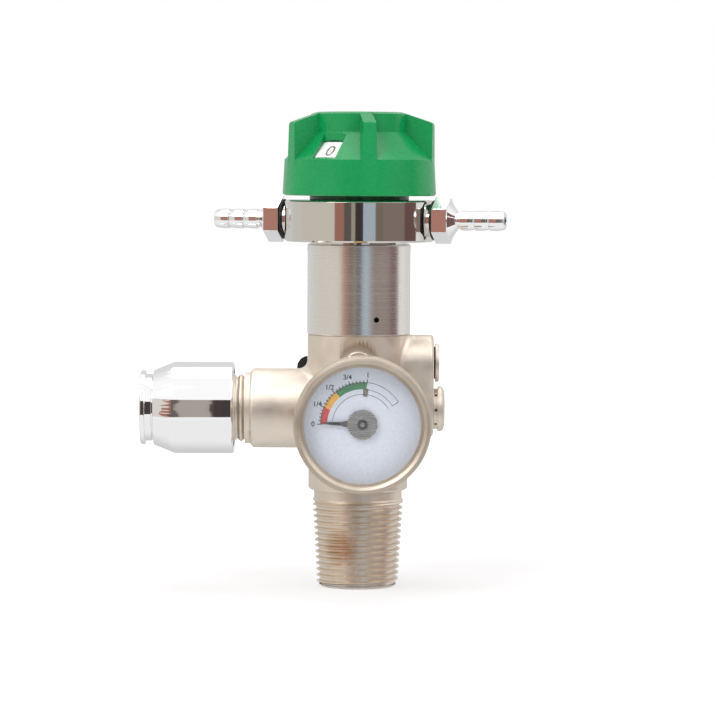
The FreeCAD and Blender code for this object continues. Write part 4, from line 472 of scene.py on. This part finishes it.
class REGULATOR_OT_body(Operator):
    """Dress the forged body and its stem thread"""
    bl_idname = "regulator.body"
    bl_label = "Forged body"

    def execute(self, context):
        size = stage_sizes()
        pitch, top, root = size.thread_pitch, size.thread_top, size.thread_root
        ridges_foot, ridges_over, ridges_under = 0.0008, 0.0001, 0.0006
        shape = merged("valve_body")
        in_thread = [face for face in shape.faces
                     if ridges_foot < face.calc_center_median().z < top + ridges_over
                     and face.calc_center_median().xy.length > root - ridges_under]
        bmesh.ops.delete(shape, geom=in_thread, context="FACES")
        finish("valve_body_finished", shape, "forging", nodes=("valve_body",), outward=False)

        foot, lead, steps, turns = 0.0009, 1.2, 72, int(top / pitch) + 2
        valley = root / MM
        ridge = valley + size.thread_depth / MM
        flanks = ((valley, 0), (valley, 0.18), (ridge, 0.42), (ridge, 0.58), (valley, 0.82), (valley, 1))
        thread = profile([(radius, share * pitch / MM) for radius, share in flanks])
        bmesh.ops.spin(thread, geom=thread.verts[:] + thread.edges[:], cent=ORIGIN, axis=UP,
                       dvec=(0, 0, pitch / steps), angle=FULL_TURN * turns, steps=steps * turns)
        bmesh.ops.translate(thread, vec=(0, 0, -lead * pitch), verts=thread.verts)
        bmesh.ops.remove_doubles(thread, verts=thread.verts, dist=1e-6)
        for level, normal in ((foot, (0, 0, -1)), (top, UP)):
            everything = thread.verts[:] + thread.edges[:] + thread.faces[:]
            bmesh.ops.bisect_plane(thread, geom=everything, plane_co=(0, 0, level), plane_no=normal,
                                   clear_outer=True)

        fade_start = top - size.thread_runout
        crest = root + size.thread_depth
        start_radius, start_slope = root - 0.05 * MM, 1.2
        for vert in thread.verts:
            faded = max(0.0, (vert.co.z - fade_start) / size.thread_runout) ** 2
            filled = vert.co.xy.length + (crest - vert.co.xy.length) * faded
            grown = filled + size.thread_taper * vert.co.z
            vert.co.xy *= min(grown, start_radius + start_slope * vert.co.z) / vert.co.xy.length
        finish("stem_thread", thread, "thread", crease=25)
        return {"FINISHED"}


class REGULATOR_OT_turned_parts(Operator):
    """Dress the bonnet, collar, barbs and plugs"""
    bl_idname = "regulator.turned_parts"
    bl_label = "Bonnet, collar, barbs and plugs"

    def execute(self, context):
        dress("bonnet", "steel")
        dress("outlet_collar", "collar")
        for side in ("left", "right"):
            dress(f"hose_barb_{side}", "chrome")
            dress(f"barb_seal_{side}", "rubber", ease=0.1)
        for plug in ("side_plug", "relief_plug", "front_plug"):
            dress(plug, "forging")
        dress("fill_connector", "thread")
        dress("dust_cap", "rubber", ease=0.5, body="cap")
        return {"FINISHED"}


class REGULATOR_OT_outlet(Operator):
    """Dress the quick outlet"""
    bl_idname = "regulator.outlet"
    bl_label = "Quick outlet"

    def execute(self, context):
        dress("coupling_body", "outlet")
        dress("nose_ring", "outlet")
        dress("release_sleeve", "outlet", ease=0.2, body="sleeve")
        return {"FINISHED"}


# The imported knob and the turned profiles, as (radius, height), in millimetres

KNOB_FLOOR = {"inner": 12.7, "outer": 21.4, "start": 14.8, "top": 136.0, "drop": 8.4, "run": 8.1}
MOULDED_FLOOR = {"start": 12.8, "top": 138.07, "slope": 0.773}
KNOB_RIBS = {"apart": 72, "turn": 7.0, "foot": 130.7, "root": 13.2}
RIB_HALF = {"start": 13.0, "width": 1.7, "growth": 0.9, "run": 10.85, "slack": 0.1}
RIB_SHIFT = math.radians(0.8)
FLOW_DIAL_PROFILE = ((13.1, 133.0), (15.2, 133.0), (15.2, 134.4), (21.1, 129.9), (21.1, 131.35),
                     (15.2, 135.9), (13.1, 135.9))
FLOW_FIGURES = ("0", "1", "2", "3", "4", "5", "6", "7", "8", "10", "12", "15")
FLOW_FIGURE = {"radius": 18.95, "height": 133.04, "bearing": -88.8, "rise": 4.55, "run": 5.9,
               "narrowed": 0.85}


def on_knob_floor(radius, height):
    """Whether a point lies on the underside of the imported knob's sloped floor."""
    floor = KNOB_FLOOR
    sloped = floor["top"] - (radius - floor["start"]) * floor["drop"] / floor["run"]
    return floor["inner"] < radius < floor["outer"] and abs(height - sloped) < 0.05


def narrowed_rib(vert, rib_width):
    """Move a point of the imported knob's grip ribs to the moulded width; other points stay."""
    radius = vert.co.xy.length / MM
    bearing = math.degrees(math.atan2(vert.co.y, vert.co.x)) - KNOB_RIBS["turn"] + 90
    between = KNOB_RIBS["apart"] / 2
    off_rib = math.radians((bearing + between) % KNOB_RIBS["apart"] - between)
    along, across = radius * math.cos(off_rib), radius * math.sin(off_rib)
    half = RIB_HALF["width"] + (along - RIB_HALF["start"]) * RIB_HALF["growth"] / RIB_HALF["run"]
    on_rib = along > KNOB_RIBS["root"] and abs(across) < half + RIB_HALF["slack"]
    if vert.co.z / MM > KNOB_RIBS["foot"] and on_rib:
        moved = across * rib_width / (2 * MM * half)
        turn = Matrix.Rotation(math.atan2(moved, along) - off_rib + RIB_SHIFT, 2)
        vert.co.xy = turn @ (vert.co.xy * (math.hypot(along, moved) / radius))


class REGULATOR_OT_knob(Operator):
    """Mould the flow knob, its cap, the sleeve under it and the flow dial"""
    bl_idname = "regulator.knob"
    bl_label = "Flow knob"

    def execute(self, context):
        size = stage_sizes()
        shape = merged("flow_knob")
        for vert in shape.verts:
            radius = vert.co.xy.length / MM
            if on_knob_floor(radius, vert.co.z / MM):
                down = (radius - MOULDED_FLOOR["start"]) * MOULDED_FLOOR["slope"]
                vert.co.z = (MOULDED_FLOOR["top"] - down) * MM
            else:
                narrowed_rib(vert, size.rib_width)
        finish("flow_knob_moulded", shape, "knob", "selector", ("flow_knob",), ease=0.45)
        dress("knob_cap", "knob", ease=0.3, body="selector")
        dress("dial_base", "sleeve", ease=0.2)
        finish("flow_dial_moulded", turned(FLOW_DIAL_PROFILE, True, 0.1), "white",
               nodes=("flow_dial",))

        place = FLOW_FIGURE
        slope = math.atan2(place["rise"], place["run"])
        lean = Matrix.Rotation(slope, 4, "Y") @ Matrix.Rotation(math.radians(90), 4, "Z")
        out = Matrix.Translation((place["radius"] * MM, 0, place["height"] * MM))
        narrow = Matrix.Diagonal((place["narrowed"], 1, 1, 1))
        marks = []
        for step in range(size.settings):
            text = FLOW_FIGURES[step % len(FLOW_FIGURES)]
            around = math.radians(place["bearing"]) + size.window_turn + step * FULL_TURN / size.settings
            mark = put(figure(text, size.flow_figure_height), narrow)
            marks.append(put(mark, Matrix.Rotation(around, 4, "Z") @ out @ lean))
        finish("flow_figures", joined(marks), "grey", outward=False)
        return {"FINISHED"}


# The gauge, in millimetres from the stem's axis to the front, and degrees anticlockwise from the right

CASE_PROFILE = ((4.5, 22.0), (19.6, 22.0), (19.6, 35.6), (18.7, 35.6), (18.7, 22.9), (4.5, 22.9))
BEZEL_PROFILE = ((19.63, 30.2), (20.5, 30.2), (20.5, 37.2), (20.0, 38.2), (19.2, 38.4), (18.3, 37.9),
                 (18.1, 37.4), (17.3, 37.3), (17.3, 37.2), (19.63, 37.2))
LENS_PROFILE = ((0, 35.6), (19.5, 35.6), (19.5, 37.2), (0, 37.2))
DIAL_PROFILE = ((0.8, 31.6), (18.5, 31.6), (18.5, 32.1), (0.8, 32.1))
DISC_PROFILE = ((0.6, 32.8), (4.5, 32.8), (4.5, 33.4), (1.6, 33.4), (1.6, 33.2), (0.6, 33.2))
BOSS_PROFILE = ((0.7, 33.25), (1.55, 33.25), (1.45, 33.7), (0.9, 33.7), (0.7, 33.4))
HAND_OUTLINE = ((2.0, 1.5), (6.6, 0.55), (6.6, -0.55), (2.0, -1.5))
TIP_OUTLINE = ((6.6, 0.55), (9.6, 0.42), (12.1, 0.08), (12.1, -0.08), (9.6, -0.42), (6.6, -0.55))
HAND_BACK, HAND_THICKNESS = 32.8, 0.4
SCALE_INNER, SCALE_OUTER = 10.5, 12.5
SCALE_EMPTY, SCALE_RED, SCALE_YELLOW, SCALE_FULL, SCALE_END = 180, 156, 130, 84, 32
QUARTER = (SCALE_EMPTY - SCALE_FULL) / 4
LINE = 0.14
INNER_LINE = (8.9, 9.05)
FULL_MARK = (8.3, 10.7, SCALE_FULL - 3.4, SCALE_FULL + 5.4)
END_MARK = 0.8
TICKS, TICKS_PER_QUARTER = 21, 5
TICK_ROOT, LONG_TICK, SHORT_TICK, TICK_HALF = 0.5, 1.0, 0.6, 0.6
GAUGE_FIGURES, GAUGE_FIGURE_RADIUS = ("0", "1/4", "1/2", "3/4", "1"), 14.7
BAND_FACE, INK_FACE = 32.13, 32.15


def gauge_prints():
    """The printed bands of the gauge dial by ink, each as inner and outer radius, start and end."""
    inner, outer = SCALE_INNER, SCALE_OUTER
    prints = {
        "red": [(inner, outer, SCALE_EMPTY, SCALE_RED)],
        "yellow": [(inner, outer, SCALE_RED, SCALE_YELLOW)],
        "green": [(inner, outer, SCALE_YELLOW, SCALE_FULL)],
        "grey": [FULL_MARK],
        "ink": [(outer, outer + LINE, SCALE_EMPTY, SCALE_END), (inner - LINE, inner, SCALE_FULL, SCALE_END),
                (*INNER_LINE, SCALE_EMPTY, SCALE_END), (inner, outer, SCALE_END, SCALE_END + END_MARK)],
    }
    for step in range(TICKS):
        turn = SCALE_EMPTY - QUARTER * step / TICKS_PER_QUARTER
        reach = LONG_TICK if step % TICKS_PER_QUARTER == 0 else SHORT_TICK
        prints["ink"].append((outer - TICK_ROOT, outer + reach, turn - TICK_HALF, turn + TICK_HALF))
    return prints


class REGULATOR_OT_gauge(Operator):
    """Turn the contents gauge and print its dial"""
    bl_idname = "regulator.gauge"
    bl_label = "Contents gauge"

    def execute(self, context):
        size = stage_sizes()
        to_front = Matrix.Rotation(math.radians(90), 4, "X")
        front = Matrix.Translation((size.gauge_across, 0, size.gauge_height)) @ to_front
        dress("gauge_socket", "brass")
        finish("gauge_case_spun", turned(CASE_PROFILE, True, 0.3), "gauge",
               nodes=("gauge_case",), place=front)
        finish("gauge_bezel_spun", turned(BEZEL_PROFILE, True, 0.12, 128), "gauge",
               nodes=("gauge_bezel",), place=front)
        finish("gauge_lens_clear", turned(LENS_PROFILE, False, 0.1, 128), "lens",
               nodes=("gauge_lens",), place=front)
        finish("gauge_dial_plate", turned(DIAL_PROFILE, True, 0.1, 128), "dial",
               nodes=("gauge_dial",), place=front)

        for ink, bands in gauge_prints().items():
            lift = INK_FACE if ink == "ink" else BAND_FACE
            shapes = [arc_band(*band, lift) for band in bands]
            if ink == "ink":
                for step, text in enumerate(GAUGE_FIGURES):
                    angle = math.radians(SCALE_EMPTY - QUARTER * step)
                    spot = Vector((math.cos(angle), math.sin(angle), 0)) * GAUGE_FIGURE_RADIUS * MM
                    spot += Vector((0, 0, lift * MM))
                    shapes.append(put(figure(text, size.figure_height, bold=0.02), Matrix.Translation(spot)))
            finish(f"gauge_print_{ink}", joined(shapes), ink, place=front, outward=False)

        turn = front @ Matrix.Rotation(size.pointer_rest, 4, "Z")
        for name, finish_name, corners in (("pointer_hand", "collar", HAND_OUTLINE),
                                           ("pointer_tip", "black", TIP_OUTLINE)):
            hand = bmesh.new()
            face = hand.faces.new([hand.verts.new((x * MM, y * MM, HAND_BACK * MM)) for x, y in corners])
            raised = bmesh.ops.extrude_face_region(hand, geom=[face])["geom"]
            bmesh.ops.translate(hand, vec=(0, 0, HAND_THICKNESS * MM),
                                verts=[part for part in raised if isinstance(part, bmesh.types.BMVert)])
            finish(name, hand, finish_name, "pointer", place=turn)
        disc = turned(DISC_PROFILE, True, 0.06, 64)
        finish("pointer_disc", disc, "steel", "pointer", ("gauge_pointer",), place=turn)
        boss = turned(BOSS_PROFILE, True, 0.05, 48)
        finish("pointer_boss", boss, "black", "pointer", place=turn)
        return {"FINISHED"}


# The stage: cards by their edges in degrees from the right and their tone; lamps by place, power and width

CARDS = (
    (-126, -99, "#D8D8D5"), (-99, -38, "#D9D4CC"), (-38, -23, "#A8786A"), (-23, -12, "#665F59"),
    (-12, -6, "#A8A098"), (-6, 6, "#433A3B"), (6, 25, "#B4C2D0"), (25, 37, "#80766C"),
    (37, 74, "#8A7C76"), (74, 98, "#715755"),
)
CARD_REACH, CARD_FOOT, CARD_TOP = 4.0, -1.4, 1.75
LAMPS = (
    ("key", (-0.7, -0.8, 1.1), 9.0, 0.7),
    ("fill", (0.9, -0.5, 0.7), 3.0, 0.8),
    ("top", (0.0, 0.3, 1.3), 5.0, 0.9),
)
LAMP_AIM = Vector((0, 0, 0.07))
CAMERA = {"sensor_width": 36.0, "lens": 169.5, "clip_start": 0.05}
CAMERA_PLACE, CAMERA_AIM, CAMERA_ROLL = (0.0, -1.03, 0.129), Vector((-0.0003, 0.0, 0.0701)), 0.3
FLOOR_SIZE = 4.0
FLOOR_NEAR, FLOOR_FAR = 0.08, 0.5
FLOOR_GLOW, FLOOR_SHADE = 0.56, (0.40, 0.39, 0.39, 1.0)
ROUND_LIGHT, MIRROR_BEHIND, MIRROR_BELOW = 0.75, 0.72, 0.86


def light_world(world):
    """White all round; mirrors see it dimmer behind the object and below it."""
    tree = empty_tree(world)
    toward = add(tree, "ShaderNodeSeparateXYZ",
                 links={0: add(tree, "ShaderNodeTexCoord").outputs["Object"]})
    behind = add(tree, "ShaderNodeMapRange",
                 {"From Min": 0.0, "From Max": 0.7, "To Min": 1.0, "To Max": MIRROR_BEHIND},
                 {"Value": toward.outputs["Y"]})
    below = add(tree, "ShaderNodeMapRange",
                {"From Min": -0.5, "From Max": -0.1, "To Min": MIRROR_BELOW, "To Max": 1.0},
                {"Value": toward.outputs["Z"]})
    seen = add(tree, "ShaderNodeMath", {"operation": "MULTIPLY"}, {0: behind.outputs[0], 1: below.outputs[0]})
    path = add(tree, "ShaderNodeLightPath")
    around = add(tree, "ShaderNodeMapRange", {"To Min": ROUND_LIGHT},
                 {"Value": path.outputs["Is Glossy Ray"], "To Max": seen.outputs[0]})
    clear = add(tree, "ShaderNodeMath", {"operation": "MAXIMUM"},
                {0: path.outputs["Is Camera Ray"], 1: path.outputs["Is Transmission Ray"]})
    strength = add(tree, "ShaderNodeMapRange", {"To Max": 1.0},
                   {"Value": clear.outputs[0], "To Min": around.outputs[0]})
    light = add(tree, "ShaderNodeBackground", {"Color": linear("#FFFFFF")}, {"Strength": strength.outputs[0]})
    add(tree, "ShaderNodeOutputWorld", links={"Surface": light.outputs[0]})


def floor_paper():
    """White paper: matt for the light, and for the camera white but for the object's shadow."""
    paper = bpy.data.materials.new("white_paper")
    tree = empty_tree(paper)
    path = add(tree, "ShaderNodeLightPath")
    matt = add(tree, "ShaderNodeBsdfDiffuse", {"Color": linear("#F2F2F2")})
    away = add(tree, "ShaderNodeVectorMath", {"operation": "LENGTH"},
               {0: add(tree, "ShaderNodeTexCoord").outputs["Object"]})
    glare = add(tree, "ShaderNodeMapRange",
                {"From Min": FLOOR_NEAR, "From Max": FLOOR_FAR, "To Min": FLOOR_GLOW, "To Max": 1.0},
                {"Value": away.outputs["Value"]})
    glow = add(tree, "ShaderNodeEmission", {"Color": linear("#FFFFFF")}, {"Strength": glare.outputs[0]})
    shaded = add(tree, "ShaderNodeBsdfDiffuse", {"Color": FLOOR_SHADE})
    lit = add(tree, "ShaderNodeAddShader", links={0: shaded.outputs[0], 1: glow.outputs[0]})
    both = add(tree, "ShaderNodeMixShader",
               links={0: path.outputs["Is Camera Ray"], 1: matt.outputs[0], 2: lit.outputs[0]})
    add(tree, "ShaderNodeOutputMaterial", links={"Surface": both.outputs[0]})
    return paper


def studio_card(index, start, end, tone):
    """A curved card far round the object, which only its mirrors see."""
    edge = [(CARD_REACH, 0, height) for height in (CARD_FOOT, CARD_TOP)]
    card = linked(f"flag_{index}", swept_edge(edge, start - 90, end - 90, steps=8))
    board = bpy.data.materials.new(f"studio_card_{index}")
    tree = empty_tree(board)
    glow = add(tree, "ShaderNodeEmission", {"Color": linear(tone), "Strength": 1.0})
    add(tree, "ShaderNodeOutputMaterial", links={"Surface": glow.outputs[0]})
    card.data.materials.append(board)
    card.visible_camera = False
    card.visible_diffuse = False
    card.visible_shadow = False
    card.visible_transmission = False


class REGULATOR_OT_stage(Operator):
    """Set the floor, the soft light and the camera"""
    bl_idname = "regulator.stage"
    bl_label = "Stage"

    def execute(self, context):
        scene = context.scene
        scene.view_settings.view_transform = "Standard"
        scene.world = bpy.data.worlds.new("white_studio")
        light_world(scene.world)

        floor = bmesh.new()
        bmesh.ops.create_grid(floor, x_segments=2, y_segments=2, size=FLOOR_SIZE)
        ground = linked("floor", floor)
        ground.data.materials.append(floor_paper())
        ground.visible_glossy = False

        for index, card in enumerate(CARDS):
            studio_card(index, *card)

        for name, spot, power, across in LAMPS:
            lamp = bpy.data.lights.new(name, "AREA")
            lamp.energy = power
            lamp.size = across
            holder = bpy.data.objects.new(name, lamp)
            holder.location = spot
            holder.rotation_euler = (LAMP_AIM - Vector(spot)).to_track_quat("-Z", "Y").to_euler()
            scene.collection.objects.link(holder)

        camera = bpy.data.cameras.new("camera")
        for key, setting in CAMERA.items():
            setattr(camera, key, setting)
        eye = bpy.data.objects.new("camera", camera)
        scene.collection.objects.link(eye)
        eye.location = CAMERA_PLACE
        aim = CAMERA_AIM - eye.location
        eye.rotation_euler = (aim.to_track_quat("-Z", "Y").to_matrix().to_4x4()
                              @ Matrix.Rotation(math.radians(CAMERA_ROLL), 4, "Z")).to_euler()
        scene.camera = eye
        return {"FINISHED"}


class REGULATOR_PT_panel(Panel):
    """The regulator's sizes, colours and pieces"""
    bl_label = "Medical gas regulator"
    bl_space_type = "VIEW_3D"
    bl_region_type = "UI"
    bl_category = "Regulator"

    def draw(self, context):
        for group in (context.scene.regulator_sizes, context.scene.regulator_colours):
            box = self.layout.box()
            for key in group.bl_rna.properties.keys():
                if key not in {"rna_type", "name"}:
                    box.prop(group, key)
        for piece in PIECES:
            self.layout.operator(piece.bl_idname)


PIECES = (REGULATOR_OT_hidden, REGULATOR_OT_body, REGULATOR_OT_turned_parts, REGULATOR_OT_outlet,
          REGULATOR_OT_knob, REGULATOR_OT_gauge, REGULATOR_OT_stage)
CLASSES = (RegulatorSizes, RegulatorColours) + PIECES + (REGULATOR_PT_panel,)


def register():
    for item in CLASSES:
        bpy.utils.register_class(item)
    bpy.types.Scene.regulator_sizes = PointerProperty(type=RegulatorSizes)
    bpy.types.Scene.regulator_colours = PointerProperty(type=RegulatorColours)


def unregister():
    del bpy.types.Scene.regulator_sizes
    del bpy.types.Scene.regulator_colours
    for item in reversed(CLASSES):
        bpy.utils.unregister_class(item)


def main():
    register()
    bpy.ops.regulator.hidden()
    bpy.ops.regulator.body()
    bpy.ops.regulator.turned_parts()
    bpy.ops.regulator.outlet()
    bpy.ops.regulator.knob()
    bpy.ops.regulator.gauge()
    bpy.ops.regulator.stage()


if __name__ == "__main__":
    main()
